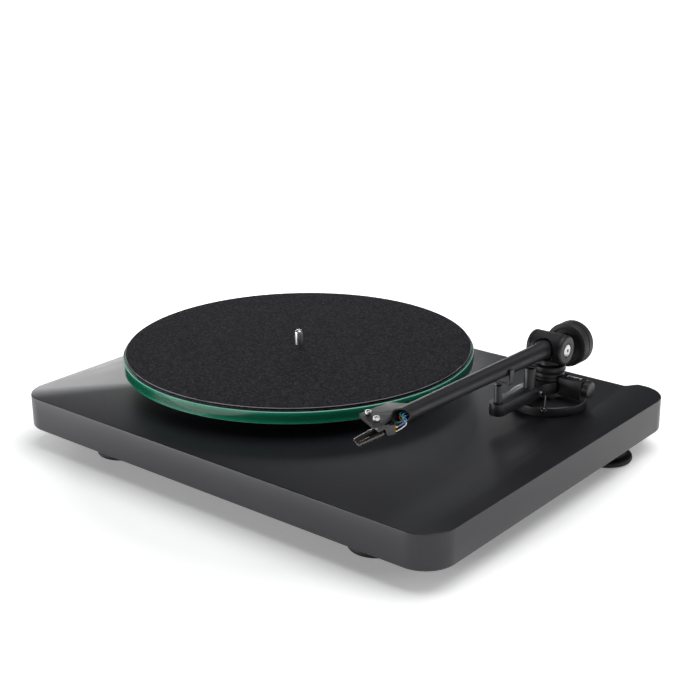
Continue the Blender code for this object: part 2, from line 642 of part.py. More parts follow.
def make_drive():
    """The motor, its two-step pulley and the belt."""
    axis = axis_empty("motor_axis", (*MOTOR_PLACE, 0))
    shaft_hole = MOTOR_SHAFT_RADIUS + RUNNING_FIT
    shaft_floor = MOTOR_BOTTOM + 5 * MM
    turned("motor_body", [
        (0, shaft_floor), (shaft_hole, shaft_floor), (shaft_hole, MOTOR_TOP + 2 * MM),
        (5 * MM, MOTOR_TOP + 2 * MM), (5 * MM, MOTOR_TOP), (MOTOR_RADIUS - 1 * MM, MOTOR_TOP),
        (MOTOR_RADIUS, MOTOR_TOP - 1 * MM), (MOTOR_RADIUS, MOTOR_BOTTOM), (0, MOTOR_BOTTOM)],
        "steel", place=(*MOTOR_PLACE, 0))
    top = GLASS_BOTTOM - 0.6 * MM
    bottom = PLINTH_TOP + 3.7 * MM
    rod("motor_shaft", MOTOR_SHAFT_RADIUS, shaft_floor + TOUCH_GAP, top - 1.2 * MM, "steel", axis,
        sides=16)
    small = PULLEY_RADIUS
    large = PULLEY_RADIUS * SECOND_SPEED
    lip = 0.8 * MM
    groove = BELT_RADIUS + 0.3 * MM
    step = BELT_HEIGHT + groove + 1 * MM
    turned("motor_pulley", [
        (0, top), (large + lip, top), (large, top - 0.6 * MM), (large, step + 0.8 * MM),
        (large + lip, step + 0.2 * MM), (small + lip, step), (small, BELT_HEIGHT + groove),
        (small, BELT_HEIGHT - groove), (small + lip, BELT_HEIGHT - groove - lip),
        (small + lip, bottom), (shaft_hole, bottom), (shaft_hole, top - 0.9 * MM),
        (0, top - 0.9 * MM)], "steel", axis, steps=24)
    path = belt_path((SPINDLE_PLACE, GROOVE_RADIUS), (MOTOR_PLACE, PULLEY_RADIUS),
                     BELT_RADIUS + TOUCH_GAP)
    wire("drive_belt", path, BELT_RADIUS, "belt_rubber", resolution=1, cyclic=True)


def make_underside():
    """The cover under the motor, with the board that feeds it."""
    cover = slab("bottom_cover", rounded_rectangle(COVER_SIZE, COVER_CORNER, COVER_PLACE),
                 COVER_BOTTOM, COVER_TOP, "black_plastic")
    half_x = BOARD_SIZE[0] / 2 - 5 * MM
    half_y = BOARD_SIZE[1] / 2 - 5 * MM
    for i, (sx, sy) in enumerate(((-1, -1), (-1, 1), (1, -1), (1, 1))):
        place = (BOARD_PLACE[0] + sx * half_x, BOARD_PLACE[1] + sy * half_y, 0)
        join(cover, rod(f"add_board_post_{i}", 3 * MM, COVER_BOTTOM + 0.5 * MM,
                        COVER_TOP + BOARD_POST_HEIGHT, place=place, sides=12))
    screw = [(0, PLINTH_BOTTOM + 10 * MM), (1.4 * MM, PLINTH_BOTTOM + 9 * MM),
             (1.4 * MM, PLINTH_BOTTOM), (3 * MM, PLINTH_BOTTOM),
             (3 * MM, PLINTH_BOTTOM - 0.8 * MM), (2 * MM, PLINTH_BOTTOM - 1.5 * MM),
             (0, PLINTH_BOTTOM - 1.5 * MM)]
    for i, (x, y) in enumerate(cover_screw_places()):
        cut(cover, rod(f"cut_cover_hole_{i}", 1.4 * MM + SCREW_FIT, COVER_BOTTOM - 2 * MM,
                       COVER_TOP + 2 * MM, place=(x, y, 0), sides=12))
        turned(f"cover_screw_{i + 1}", screw, "steel", place=(x, y, 0), steps=12)
    size_x, size_y, thick = BOARD_SIZE
    block("motor_board", (-size_x / 2, -size_y / 2, 0), (size_x / 2, size_y / 2, thick),
          "circuit_board", place=(*BOARD_PLACE, BOARD_BOTTOM))
    height = BOARD_BOTTOM + thick + TOUCH_GAP + CAPACITOR_RADIUS
    rod("phase_capacitor", CAPACITOR_RADIUS, -CAPACITOR_LENGTH / 2, CAPACITOR_LENGTH / 2,
        "black_plastic", place=(BOARD_PLACE[0] + 12 * MM, BOARD_PLACE[1], height),
        rotation=(math.radians(90), 0, 0), sides=20)


def make_switch():
    """The mains switch under the front edge: a housing and the rocker in it."""
    half_x = SWITCH_OPENING[0] / 2
    half_y = SWITCH_OPENING[1] / 2
    wall = SWITCH_WALL
    bezel = SWITCH_WALL + SWITCH_BEZEL
    bezel_top = PLINTH_BOTTOM - TOUCH_GAP
    bezel_bottom = bezel_top - 1.4 * MM
    top = PLINTH_BOTTOM + SWITCH_DEPTH
    place = (*SWITCH_PLACE, 0)
    housing = slab("switch_housing",
                   rounded_rectangle((2 * (half_x + bezel), 2 * (half_y + bezel)), 2 * MM),
                   bezel_bottom, bezel_top, "black_plastic", place=place)
    join(housing, block("add_switch_body", (-half_x - wall, -half_y - wall, bezel_bottom + 0.4 * MM),
                        (half_x + wall, half_y + wall, top), place=place))
    cut(housing, block("cut_switch_opening", (-half_x, -half_y, bezel_bottom - 3 * MM),
                       (half_x, half_y, top - 2 * MM), place=place))
    axis_height = PLINTH_BOTTOM + 2 * MM
    axis = axis_empty("switch_axis", (*SWITCH_PLACE, axis_height), (0, -ROCKER_OFF_ANGLE, 0))
    reach = half_x - ROCKER_ROOM
    outline = [(-reach, -4.2 * MM), (0, -2.8 * MM), (reach, -4.2 * MM), (reach, -0.5 * MM),
               (4 * MM, 3.4 * MM), (-4 * MM, 3.4 * MM), (-reach, -0.5 * MM)]
    width = half_y - ROCKER_ROOM
    slab("switch_rocker", outline, -width, width, "black_plastic", axis,
         rotation=(math.radians(90), 0, 0))


def make_rear_sockets():
    """The terminal plate with its two phono sockets, and the power inlet."""
    rear = (math.radians(-90), 0, 0)
    plate_face = RECESS_FACE + TOUCH_GAP + TERMINAL_SIZE[1]
    plate = slab("terminal_plate", rounded_rectangle((TERMINAL_SIZE[0], TERMINAL_SIZE[2]), 2 * MM),
                 TOUCH_GAP, TOUCH_GAP + TERMINAL_SIZE[1], "black_plastic",
                 place=(TERMINAL_CENTRE, RECESS_FACE, PLINTH_MIDDLE), rotation=rear)
    body = 3.2 * MM
    bore = 1.7 * MM
    flange = 5.4 * MM
    socket = [(0, SOCKET_LENGTH - 6 * MM), (bore, SOCKET_LENGTH - 6 * MM), (bore, SOCKET_LENGTH),
              (SOCKET_RADIUS - 0.5 * MM, SOCKET_LENGTH), (SOCKET_RADIUS, SOCKET_LENGTH - 0.6 * MM),
              (SOCKET_RADIUS, 1.6 * MM), (flange, 1.6 * MM), (flange, 0), (body, 0),
              (body, -14 * MM), (0, -14 * MM)]
    screw = [(0, 1.6 * MM), (1.6 * MM, 1.6 * MM), (2.6 * MM, 0.8 * MM), (2.6 * MM, 0),
             (1.2 * MM, 0), (1.2 * MM, -9 * MM), (0, -9 * MM)]
    for i, side in enumerate((-1, 1)):
        socket_x = TERMINAL_CENTRE + side * SOCKET_SPACING / 2
        screw_x = TERMINAL_CENTRE + side * TERMINAL_SCREW_SPACING / 2
        cut(plate, rod(f"cut_plate_socket_{i}", body + SCREW_FIT, -5 * MM, 5 * MM, rotation=rear,
                       place=(socket_x, RECESS_FACE, PLINTH_MIDDLE)))
        cut(plate, rod(f"cut_plate_screw_{i}", 1.2 * MM + SCREW_FIT, -5 * MM, 5 * MM,
                       rotation=rear, place=(screw_x, RECESS_FACE, PLINTH_MIDDLE), sides=12))
        turned(f"phono_socket_{'left' if side > 0 else 'right'}", socket, "steel", rotation=rear,
               place=(socket_x, plate_face + TOUCH_GAP, PLINTH_MIDDLE), steps=20)
        turned(f"terminal_screw_{i + 1}", screw, "steel", rotation=rear, steps=12,
               place=(screw_x, plate_face + TOUCH_GAP, PLINTH_MIDDLE))
    jack = [(0, 0.2 * MM), (1 * MM, 0.2 * MM), (1 * MM, -8 * MM), (3.1 * MM, -8 * MM),
            (3.1 * MM, 1.6 * MM), (5.4 * MM, 1.6 * MM), (6.2 * MM, 0.8 * MM), (6.2 * MM, 0),
            (4.6 * MM, 0), (4.6 * MM, -15 * MM), (0, -15 * MM)]
    turned("power_inlet", jack, "black_plastic", rotation=rear, steps=20,
           place=(INLET_PLACE, RECESS_FACE + TOUCH_GAP, PLINTH_MIDDLE))


# ================================================================ tonearm base
def make_arm_base():
    """The round base on the plinth, its lock nut and the bearing tube that stands in it."""
    place = (*ARM_PLACE, 0)
    chamfer = 1 * MM
    turned("arm_base", [
        (BEARING_BORE, COLUMN_TOP), (COLUMN_RADIUS, COLUMN_TOP),
        (COLUMN_RADIUS, BASE_TOP + chamfer), (COLUMN_RADIUS + chamfer, BASE_TOP),
        (BASE_RADIUS - chamfer, BASE_TOP), (BASE_RADIUS, BASE_TOP - chamfer),
        (BASE_RADIUS, BASE_BOTTOM + 1.6 * MM), (BASE_RADIUS - 0.5 * MM, BASE_BOTTOM + 1.2 * MM),
        (BASE_RADIUS - 0.5 * MM, BASE_BOTTOM), (STEM_RADIUS, BASE_BOTTOM),
        (STEM_RADIUS, STEM_BOTTOM), (BEARING_BORE, STEM_BOTTOM)],
        "black_plastic", place=place, steps=36, closed=True)
    nut_top = PLINTH_BOTTOM + NUT_POCKET_DEPTH - TOUCH_GAP
    nut = rod("arm_lock_nut", NUT_RADIUS, nut_top - NUT_THICKNESS, nut_top, "steel", place=place,
              sides=6)
    cut(nut, rod("cut_nut", STEM_RADIUS + TOUCH_GAP, nut_top - 2 * NUT_THICKNESS,
                 nut_top + NUT_THICKNESS, place=place))
    tube_bottom = STEM_BOTTOM + 10 * MM
    tube_top = RING_TOP - 0.2 * MM
    tube_bore = BEARING_TUBE_RADIUS - BEARING_TUBE_WALL
    turned("bearing_tube", [
        (BEARING_TUBE_RADIUS, tube_top), (BEARING_TUBE_RADIUS, tube_bottom),
        (tube_bore, tube_bottom), (tube_bore, tube_top)],
        "steel", place=place, steps=24, closed=True)
    race_outer = tube_bore - TOUCH_GAP
    race_inner = YAW_SHAFT_RADIUS + RUNNING_FIT
    for name, bottom in (("lower_race", tube_bottom + 2 * MM),
                         ("upper_race", tube_top - 2 * MM - RACE_HEIGHT)):
        turned(name, [(race_outer, bottom + RACE_HEIGHT), (race_outer, bottom),
                      (race_inner, bottom), (race_inner, bottom + RACE_HEIGHT)],
               "steel", place=place, steps=24, closed=True)
    groove = RING_BOTTOM + 2.8 * MM
    turned("column_ring", [
        (BEARING_BORE, RING_TOP), (RING_RADIUS - 0.8 * MM, RING_TOP),
        (RING_RADIUS, RING_TOP - 0.8 * MM), (RING_RADIUS, groove + 0.5 * MM),
        (RING_RADIUS - 0.7 * MM, groove), (RING_RADIUS, groove - 0.5 * MM),
        (RING_RADIUS, RING_BOTTOM), (BEARING_BORE, RING_BOTTOM)],
        "black_anodised", place=place, steps=28, closed=True)


def bracket_outline():
    """The bracket from above: hub round the column, bar and round end under the rest post."""
    hub = HUB_HALF_WIDTH
    bar = BRACKET_HALF_WIDTH
    points = arc((REST_DISTANCE, 0), bar, -90, 90, 8)
    points += [(24 * MM, bar), (15 * MM, bar + 1.2 * MM), (8 * MM, hub), (-6 * MM, hub)]
    points += arc((-1 * MM, 0), 12.7 * MM, 113, 247, 8)
    points += [(-6 * MM, -hub), (8 * MM, -hub), (15 * MM, -bar - 1.2 * MM), (24 * MM, -bar)]
    return points


def make_bracket(frame):
    """The bracket that carries the rest post, the lift and the cue lever."""
    bracket = slab("arm_bracket", bracket_outline(), BRACKET_BOTTOM, BRACKET_TOP, "black_plastic",
                   frame, edges=((BRACKET_TOP, 0.6 * MM, 1),))
    pillar_top = LIFT_PLATFORM_TOP - LIFT_PLATFORM_THICKNESS - TOUCH_GAP
    join(bracket, turned("add_lift_pillar", [
        (0, pillar_top), (LIFT_PILLAR_RADIUS - 0.5 * MM, pillar_top),
        (LIFT_PILLAR_RADIUS, pillar_top - 0.5 * MM), (LIFT_PILLAR_RADIUS, BRACKET_TOP + 1.5 * MM),
        (LIFT_PILLAR_RADIUS + 1.2 * MM, BRACKET_TOP - 0.4 * MM),
        (LIFT_PILLAR_RADIUS + 1.2 * MM, BRACKET_TOP - 2 * MM), (0, BRACKET_TOP - 2 * MM)],
        parent=frame, place=(LIFT_DISTANCE, 0, 0), steps=24))
    cut(bracket, rod("cut_bracket_bore", BEARING_BORE, BRACKET_BOTTOM - 5 * MM,
                     BRACKET_TOP + 5 * MM, parent=frame))
    cut(bracket, rod("cut_lift_bore", LIFT_STEM_RADIUS + RUNNING_FIT, BRACKET_TOP + 3 * MM,
                     pillar_top + 5 * MM, parent=frame, place=(LIFT_DISTANCE, 0, 0), sides=16))
    cut(bracket, rod("cut_cue_bore", CUE_WIRE_RADIUS + RUNNING_FIT, -20 * MM, 4 * MM,
                     parent=frame, place=(CUE_AXIS[0], 0, CUE_AXIS[1]),
                     rotation=(math.radians(90), 0, 0), sides=16))


def make_rest(frame):
    """The post and the open hook that hold the parked arm."""
    saddle_bottom = CLIP_SADDLE_TOP - 1.3 * MM
    neck_top = saddle_bottom - TOUCH_GAP
    post = REST_POST_RADIUS
    bottom = BRACKET_TOP + TOUCH_GAP
    shoulder = neck_top - 2.2 * MM
    turned("rest_post", [
        (0, neck_top), (1.6 * MM, neck_top), (1.6 * MM, shoulder + 0.4 * MM),
        (post - 0.6 * MM, shoulder), (post, shoulder - 0.6 * MM), (post, bottom + 1 * MM),
        (post + 0.7 * MM, bottom), (0, bottom)], "black_plastic", frame,
        place=(REST_DISTANCE, 0, 0), steps=20)
    aside = REST_DISTANCE * math.sin(ARM_YAW - BRACKET_YAW)
    outer = aside + CLIP_OUTER
    inner = aside + CLIP_INNER
    start = aside - 6 * MM
    top = CLIP_SADDLE_TOP + CLIP_PRONG
    outline = [(start, CLIP_SADDLE_TOP), (start - 1 * MM, saddle_bottom + 0.2 * MM),
               (start, saddle_bottom), (outer - 2 * MM, saddle_bottom),
               (outer, saddle_bottom + 2 * MM), (outer, top - 0.6 * MM), (outer - 0.7 * MM, top),
               (inner, top - 0.6 * MM), (inner, CLIP_SADDLE_TOP + 1.2 * MM),
               (inner - 1.2 * MM, CLIP_SADDLE_TOP)]
    slab("rest_clip", outline, -CLIP_LENGTH / 2, CLIP_LENGTH / 2, "black_plastic", frame,
         place=(REST_DISTANCE, 0, 0), rotation=(math.radians(90), 0, math.radians(90)))


def make_lift(frame):
    """The curved platform that raises the arm, and the lever that works it."""
    top = LIFT_PLATFORM_TOP
    under = top - LIFT_PLATFORM_THICKNESS
    sweep = math.degrees(LIFT_SWEEP)
    overrun = math.degrees(LIFT_OVERRUN)
    half = LIFT_PLATFORM_WIDTH / 2
    outline = arc((0, 0), LIFT_DISTANCE + half, -sweep, overrun, 14)
    outline += arc((0, 0), LIFT_DISTANCE - half, overrun, -sweep, 14)
    platform = slab("lift_platform", outline, under, top, "steel", frame)
    join(platform, rod("add_lift_stem", LIFT_STEM_RADIUS, BRACKET_TOP + 6 * MM,
                       under + 0.5 * LIFT_PLATFORM_THICKNESS, parent=frame,
                       place=(LIFT_DISTANCE, 0, 0), sides=16))
    axis = axis_empty("cue_axis", (CUE_AXIS[0], 0, CUE_AXIS[1]), parent=frame)
    path = rounded_path([*CUE_BENDS, CUE_BALL_PLACE], 4)
    lever = wire("cue_lever", path, CUE_WIRE_RADIUS, "steel", axis, resolution=1)
    bm = bmesh.new()
    bmesh.ops.create_uvsphere(bm, u_segments=16, v_segments=10, radius=CUE_BALL_RADIUS)
    join(lever, link_placed(mesh_object("add_cue_ball", bm), None, axis, CUE_BALL_PLACE, (0, 0, 0)))


def make_bias(base):
    """The anti-skating block beside the column, with its sliding knob."""
    size_x, size_y, size_z = BIAS_SIZE
    left = RING_RADIUS + 0.4 * MM
    middle = (left + size_x, BIAS_FRONT + size_y / 2 + 0.6 * MM, BIAS_BOTTOM + size_z / 2 + 0.7 * MM)
    housing = block("bias_housing", (left, BIAS_FRONT, BIAS_BOTTOM),
                    (left + size_x, BIAS_FRONT + size_y, BIAS_BOTTOM + size_z), "black_plastic",
                    base)
    soften(housing, 0.5 * MM, 1)
    along_x = (0, math.radians(90), 0)
    cut(housing, rod("cut_bias_bore", BIAS_ROD_RADIUS + RUNNING_FIT, -BIAS_ROD_LENGTH - 1 * MM,
                     5 * MM, parent=base, place=middle, rotation=along_x, sides=16))
    knob = BIAS_KNOB_RADIUS
    length = BIAS_KNOB_LENGTH
    turned("bias_knob", [
        (0, length), (knob - 1.2 * MM, length), (knob, length - 1.2 * MM), (knob, 1 * MM),
        (knob - 0.8 * MM, TOUCH_GAP), (BIAS_ROD_RADIUS, TOUCH_GAP),
        (BIAS_ROD_RADIUS, -BIAS_ROD_LENGTH), (0, -BIAS_ROD_LENGTH)],
        "black_plastic", base, place=middle, rotation=along_x, steps=28)


# ================================================================ tonearm
def make_yoke(frame):
    """The bearing barrel on its flange, the yaw shaft and the two pivot screws."""
    flange_bottom = FLANGE_BOTTOM - ARM_HEIGHT
    flange_top = flange_bottom + FLANGE_THICKNESS
    across = (math.radians(-90), 0, 0)
    half = BARREL_HALF_LENGTH
    radius = BARREL_RADIUS
    edge = 2.2 * MM
    yoke = turned("arm_yoke", [
        (0, half), (radius - edge, half), (radius - 0.3 * edge, half - 0.3 * edge),
        (radius, half - edge), (radius, -half + edge), (radius - 0.3 * edge, -half + 0.3 * edge),
        (radius - edge, -half), (0, -half)], "black_anodised", frame, rotation=across, steps=28)
    join(yoke, turned("add_yoke_flange", [
        (0, -6 * MM), (8.5 * MM, -6 * MM), (8.5 * MM, flange_top + 0.6 * MM),
        (9.4 * MM, flange_top), (FLANGE_RADIUS - 0.8 * MM, flange_top),
        (FLANGE_RADIUS, flange_top - 0.8 * MM), (FLANGE_RADIUS, flange_bottom + 0.6 * MM),
        (FLANGE_RADIUS - 0.6 * MM, flange_bottom), (0, flange_bottom)], parent=frame, steps=28))
    cut(yoke, rod("cut_arm_hole", ARM_HOLE_RADIUS, -30 * MM, 30 * MM, parent=frame,
                  rotation=(0, math.radians(90), 0), sides=28))
    cut(yoke, rod("cut_pivot_bore", PIVOT_SCREW_RADIUS + SCREW_FIT, -30 * MM, 30 * MM,
                  parent=frame, rotation=across))
    shaft_top = -10.8 * MM
    cut(yoke, rod("cut_yaw_bore", YAW_SHAFT_RADIUS + RUNNING_FIT, flange_bottom - 5 * MM,
                  shaft_top, parent=frame))
    rod("yaw_shaft", YAW_SHAFT_RADIUS, STEM_BOTTOM + 11 * MM - ARM_HEIGHT, shaft_top - TOUCH_GAP,
        "steel", frame, sides=20)
    tip = TUBE_PIVOT_RADIUS + 0.4 * MM
    screw_radius = PIVOT_SCREW_RADIUS
    screw = [(0, half - 3 * MM), (1.1 * MM, half - 3 * MM), (1.1 * MM, half - 0.6 * MM),
             (screw_radius - 0.5 * MM, half - 0.6 * MM), (screw_radius, half - 1.1 * MM),
             (screw_radius, tip + 2.5 * MM), (0, tip)]
    turned("pivot_screw_inner", screw, "steel", frame, rotation=(math.radians(90), 0, 0), steps=20)
    turned("pivot_screw_outer", screw, "steel", frame, rotation=across, steps=20)


def make_arm(frame):
    """The tapered tube with its angled headshell, and the rod behind it."""
    along = (0, math.radians(90), 0)
    collar = COLLAR_RADIUS
    collar_rear, collar_front = COLLAR_PLACE
    taper = TUBE_PIVOT_RADIUS - 0.1 * MM
    arm = turned("arm_tube", [
        (0, TUBE_END), (TUBE_HEAD_RADIUS, TUBE_END), (TUBE_HEAD_RADIUS, TUBE_TAPER_END),
        (taper, collar_front + 0.5 * MM), (collar, collar_front), (collar, collar_rear),
        (TUBE_PIVOT_RADIUS, collar_rear - 0.5 * MM), (TUBE_PIVOT_RADIUS, TUBE_REAR),
        (0, TUBE_REAR)],
        "black_anodised", frame, rotation=along, steps=32)
    plate = slab("add_headshell", HEAD_OUTLINE, HEAD_TOP - HEAD_THICKNESS, HEAD_TOP, parent=frame)
    reach = 40 * MM
    cut(arm, block("cut_mouth", (-reach, 0, -reach), (reach, reach, reach), parent=frame,
                   place=(MOUTH_PLACE, 0, 0), rotation=(0, 0, -MOUTH_ANGLE)))
    join(arm, plate)
    cut(arm, rod("cut_tube_bore", TUBE_BORE_RADIUS, TUBE_BORE_START, TUBE_END,
                 parent=frame, rotation=along))
    for i, place in enumerate(cartridge_screw_places()):
        cut(arm, rod(f"cut_head_slot_{i}", CARTRIDGE_SCREW_RADIUS + SCREW_FIT, -10 * MM, 10 * MM,
                     parent=frame, place=(*place, 0), sides=12))
    rod("counterweight_rod", STUB_RADIUS, STUB_REAR, TUBE_REAR - TOUCH_GAP, "steel", frame,
        rotation=along, sides=20)


def cartridge_screw_places():
    """The two screw places in the arm's frame, the inner one first."""
    half = CARTRIDGE_SCREW_SPACING / 2
    across = (math.sin(OFFSET_ANGLE), math.cos(OFFSET_ANGLE))
    return [(HEAD_CENTRE[0] + sign * half * across[0], HEAD_CENTRE[1] + sign * half * across[1])
            for sign in (-1, 1)]


def make_counterweight(frame):
    """The weight behind the bearing, hung low on its rod, and its set screw."""
    along = (0, math.radians(90), 0)
    front = WEIGHT_FRONT
    rear = WEIGHT_FRONT - WEIGHT_LENGTH
    radius = WEIGHT_RADIUS
    weight = turned("counterweight", [
        (0, front - 1.2 * MM), (radius - 4 * MM, front - 1.2 * MM), (radius - 4 * MM, front),
        (radius - 0.8 * MM, front), (radius, front - 0.8 * MM), (radius, rear + 0.8 * MM),
        (radius - 0.8 * MM, rear), (0, rear)],
        "black_anodised", frame, place=(0, 0, -WEIGHT_DROP), rotation=along, steps=32)
    cut(weight, rod("cut_weight_bore", STUB_RADIUS + RUNNING_FIT, rear - 5 * MM, front + 5 * MM,
                    parent=frame, rotation=along))
    middle = (front + rear) / 2
    top = radius - WEIGHT_DROP
    screw_bottom = STUB_RADIUS + 0.4 * MM
    cut(weight, rod("cut_weight_screw", WEIGHT_SCREW_RADIUS + SCREW_FIT, STUB_RADIUS - 2 * MM,
                    top + 5 * MM, parent=frame, place=(middle, 0, 0), sides=12))
    rod("counterweight_screw", WEIGHT_SCREW_RADIUS, screw_bottom, top - 0.5 * MM, "steel", frame,
        place=(middle, 0, 0), sides=12)


def make_cartridge(frame):
    """The cartridge under the headshell, its screws, stylus and guard."""
    head = axis_empty("headshell_frame", (*HEAD_CENTRE, 0), (0, 0, -OFFSET_ANGLE), frame)
    top = HEAD_TOP - HEAD_THICKNESS - TOUCH_GAP
    wing_x, wing_y, wing_z = CARTRIDGE_WING
    body = block("cartridge_body",
                 (CARTRIDGE_WING_FRONT - wing_x, -wing_y / 2, top - wing_z),
                 (CARTRIDGE_WING_FRONT, wing_y / 2, top), "black_plastic", head)
    start_x, start_z = STYLUS_START
    stylus = axis_empty("stylus_frame", (start_x, 0, start_z), (0, STYLUS_SLOPE, 0), head)
    guard_x, guard_y, guard_z = GUARD_SIZE
    join(body, block("add_generator", (CARTRIDGE_REAR, -CARTRIDGE_HALF_WIDTH, -CARTRIDGE_DEPTH),
                     (CARTRIDGE_FRONT, CARTRIDGE_HALF_WIDTH, top - wing_z + 0.5 * MM),
                     parent=head))
    cut(body, block("cut_guard_room", (-TOUCH_GAP, -guard_y, -guard_z / 2 - 12 * MM),
                    (guard_x + 5 * MM, guard_y, guard_z / 2 + TOUCH_GAP), parent=stylus))
    for i, sign in enumerate((-1, 1)):
        place = (0, sign * CARTRIDGE_SCREW_SPACING / 2, 0)
        cut(body, rod(f"cut_body_screw_{i}", CARTRIDGE_SCREW_RADIUS + SCREW_FIT,
                      top - wing_z - 5 * MM, 5 * MM, parent=head, place=place, sides=12))
        screw_top = HEAD_TOP + TOUCH_GAP
        tail = top - wing_z - 0.6 * MM
        name = "cartridge_screw_inner" if sign < 0 else "cartridge_screw_outer"
        turned(name, [
            (0, screw_top + 1.2 * MM), (0.9 * MM, screw_top + 1.2 * MM),
            (0.9 * MM, screw_top + 2.6 * MM), (1.9 * MM, screw_top + 2.6 * MM),
            (2.2 * MM, screw_top + 2.3 * MM), (2.2 * MM, screw_top),
            (CARTRIDGE_SCREW_RADIUS, screw_top), (CARTRIDGE_SCREW_RADIUS, tail), (0, tail)],
            "steel", head, place=place, steps=16)
    wall = GUARD_WALL
    guard = block("stylus_guard", (0, -guard_y / 2, -guard_z / 2), (guard_x, guard_y / 2, guard_z / 2),
                  "smoky_plastic", stylus)
    soften(guard, GUARD_EDGE, 2)
    hollow = block("cut_guard", (-5 * MM, -guard_y / 2 + wall, -guard_z / 2 + wall),
                   (guard_x - wall, guard_y / 2 - wall, guard_z / 2 - wall), parent=stylus)
    soften(hollow, GUARD_EDGE / 2, 2)
    cut(guard, hollow)
    room = wall + GUARD_ROOM
    half_y = guard_y / 2 - room
    half_z = guard_z / 2 - room
    outline = [(0.2 * MM, -half_y), (8 * MM, -half_y), (guard_x - 6 * MM, -1.6 * MM),
               (guard_x - 6 * MM, 1.6 * MM), (8 * MM, half_y), (0.2 * MM, half_y)]
    holder = slab("stylus_holder", outline, -half_z, half_z, "black_plastic", stylus)
    join(holder, rod("add_cantilever", 0.35 * MM, guard_x - 8 * MM, guard_x - 2.4 * MM,
                     parent=stylus, place=(0, 0, -half_z + 0.9 * MM),
                     rotation=(0, math.radians(90), 0), sides=8))
    return head


def make_leads(frame, head):
    """Four thin leads from the tube's open end to the back of the cartridge."""
    turn = Matrix.Rotation(-OFFSET_ANGLE, 3, "Z")
    for name, y, z, pin_y, pin_z in (("red", -1.3, -0.9, -3.2, -7.6),
                                     ("green", -1.0, 1.3, -3.0, -4.6),
                                     ("blue", 1.4, 1.2, 3.2, -4.6),
                                     ("white", 1.3, -1.2, 3.0, -7.6)):
        pin = turn @ Vector((CARTRIDGE_REAR - TOUCH_GAP, pin_y * MM, pin_z * MM))
        behind = turn @ Vector((CARTRIDGE_REAR - 2.2 * MM, pin_y * MM, pin_z * MM))
        centre = Vector((*HEAD_CENTRE, 0))
        start = Vector((190 * MM, y * MM, z * MM))
        mouth = Vector((MOUTH_PLACE - 0.5 * MM, y * MM, z * MM))
        bow = Vector(LEAD_BOW) + Vector((0, y * MM, z * MM))
        path = rounded_path([start, mouth, bow, centre + behind, centre + pin], 4)
        wire(f"lead_{name}", path, LEAD_RADIUS, f"{name}_lead", frame, resolution=1)


def build():
    """Make every piece."""
    make_plinth()
    make_feet()
    make_bearing()
    make_platter()
    make_drive()
    make_underside()
    make_switch()
    make_rear_sockets()
    make_arm_base()
    bracket_frame = axis_empty("bracket_frame", (*ARM_PLACE, 0), (0, 0, BRACKET_YAW))
    make_bracket(bracket_frame)
    make_rest(bracket_frame)
    make_lift(bracket_frame)
    make_bias(axis_empty("bias_frame", (*ARM_PLACE, 0)))
    pivot = (*ARM_PLACE, ARM_HEIGHT)
    make_yoke(axis_empty("arm_yaw_axis", pivot, (0, 0, ARM_YAW)))
    arm_frame = axis_empty("arm_pitch_axis", pivot, (0, -ARM_TILT, ARM_YAW))
    make_arm(arm_frame)
    make_counterweight(arm_frame)
    make_leads(arm_frame, make_cartridge(arm_frame))


clear_scene()
PARTS = new_collection("turntable")
CUTTERS = new_collection("cutters")
build()
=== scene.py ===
"""Finish and fine shapes for a belt-driven record player, built round its engineering model.

Units are metres and +Z is up. +X is the tonearm's side and +Y is the rear.
"""

import json
import math

import bmesh
import bpy
from bpy.props import FloatProperty, FloatVectorProperty, IntProperty
from mathutils import Matrix, Vector, noise


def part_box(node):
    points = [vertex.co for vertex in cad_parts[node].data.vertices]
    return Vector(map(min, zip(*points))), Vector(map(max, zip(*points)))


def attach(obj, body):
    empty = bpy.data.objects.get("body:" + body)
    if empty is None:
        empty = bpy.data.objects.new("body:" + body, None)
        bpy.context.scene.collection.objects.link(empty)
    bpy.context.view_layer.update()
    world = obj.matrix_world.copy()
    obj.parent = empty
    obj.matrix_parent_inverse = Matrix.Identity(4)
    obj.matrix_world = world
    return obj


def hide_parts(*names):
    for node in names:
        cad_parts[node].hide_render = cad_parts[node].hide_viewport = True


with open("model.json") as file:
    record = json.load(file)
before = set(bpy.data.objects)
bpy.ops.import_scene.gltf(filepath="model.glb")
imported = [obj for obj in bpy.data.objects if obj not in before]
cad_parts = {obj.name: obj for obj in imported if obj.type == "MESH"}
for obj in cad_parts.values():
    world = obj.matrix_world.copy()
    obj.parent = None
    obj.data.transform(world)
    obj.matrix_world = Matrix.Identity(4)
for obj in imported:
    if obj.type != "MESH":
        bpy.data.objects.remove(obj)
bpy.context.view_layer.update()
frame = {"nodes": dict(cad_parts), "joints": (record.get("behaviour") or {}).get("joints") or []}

bl_info = {
    "name": "Record Player Finish",
    "version": (1, 0, 0),
    "blender": (4, 5, 0),
    "location": "View3D > Sidebar > Record Player",
    "description": "Builds the fine shapes and finishes of a belt-driven record player",
    "category": "Object",
}

MM = 0.001
TAU = 2 * math.pi
JOINTS = {joint["name"]: joint for joint in frame["joints"]}


# ================================================================ places taken from the frame
def basis(origin, x_axis, z_hint):
    """A matrix whose X runs along x_axis and whose Z leans towards z_hint."""
    x_axis = Vector(x_axis).normalized()
    y_axis = Vector(z_hint).cross(x_axis).normalized()
    z_axis = x_axis.cross(y_axis)
    matrix = Matrix((x_axis, y_axis, z_axis)).transposed().to_4x4()
    matrix.translation = Vector(origin)
    return matrix


def upright(x, y, z=0.0):
    """A matrix for a piece that stands upright at a place."""
    return Matrix.Translation((x, y, z))


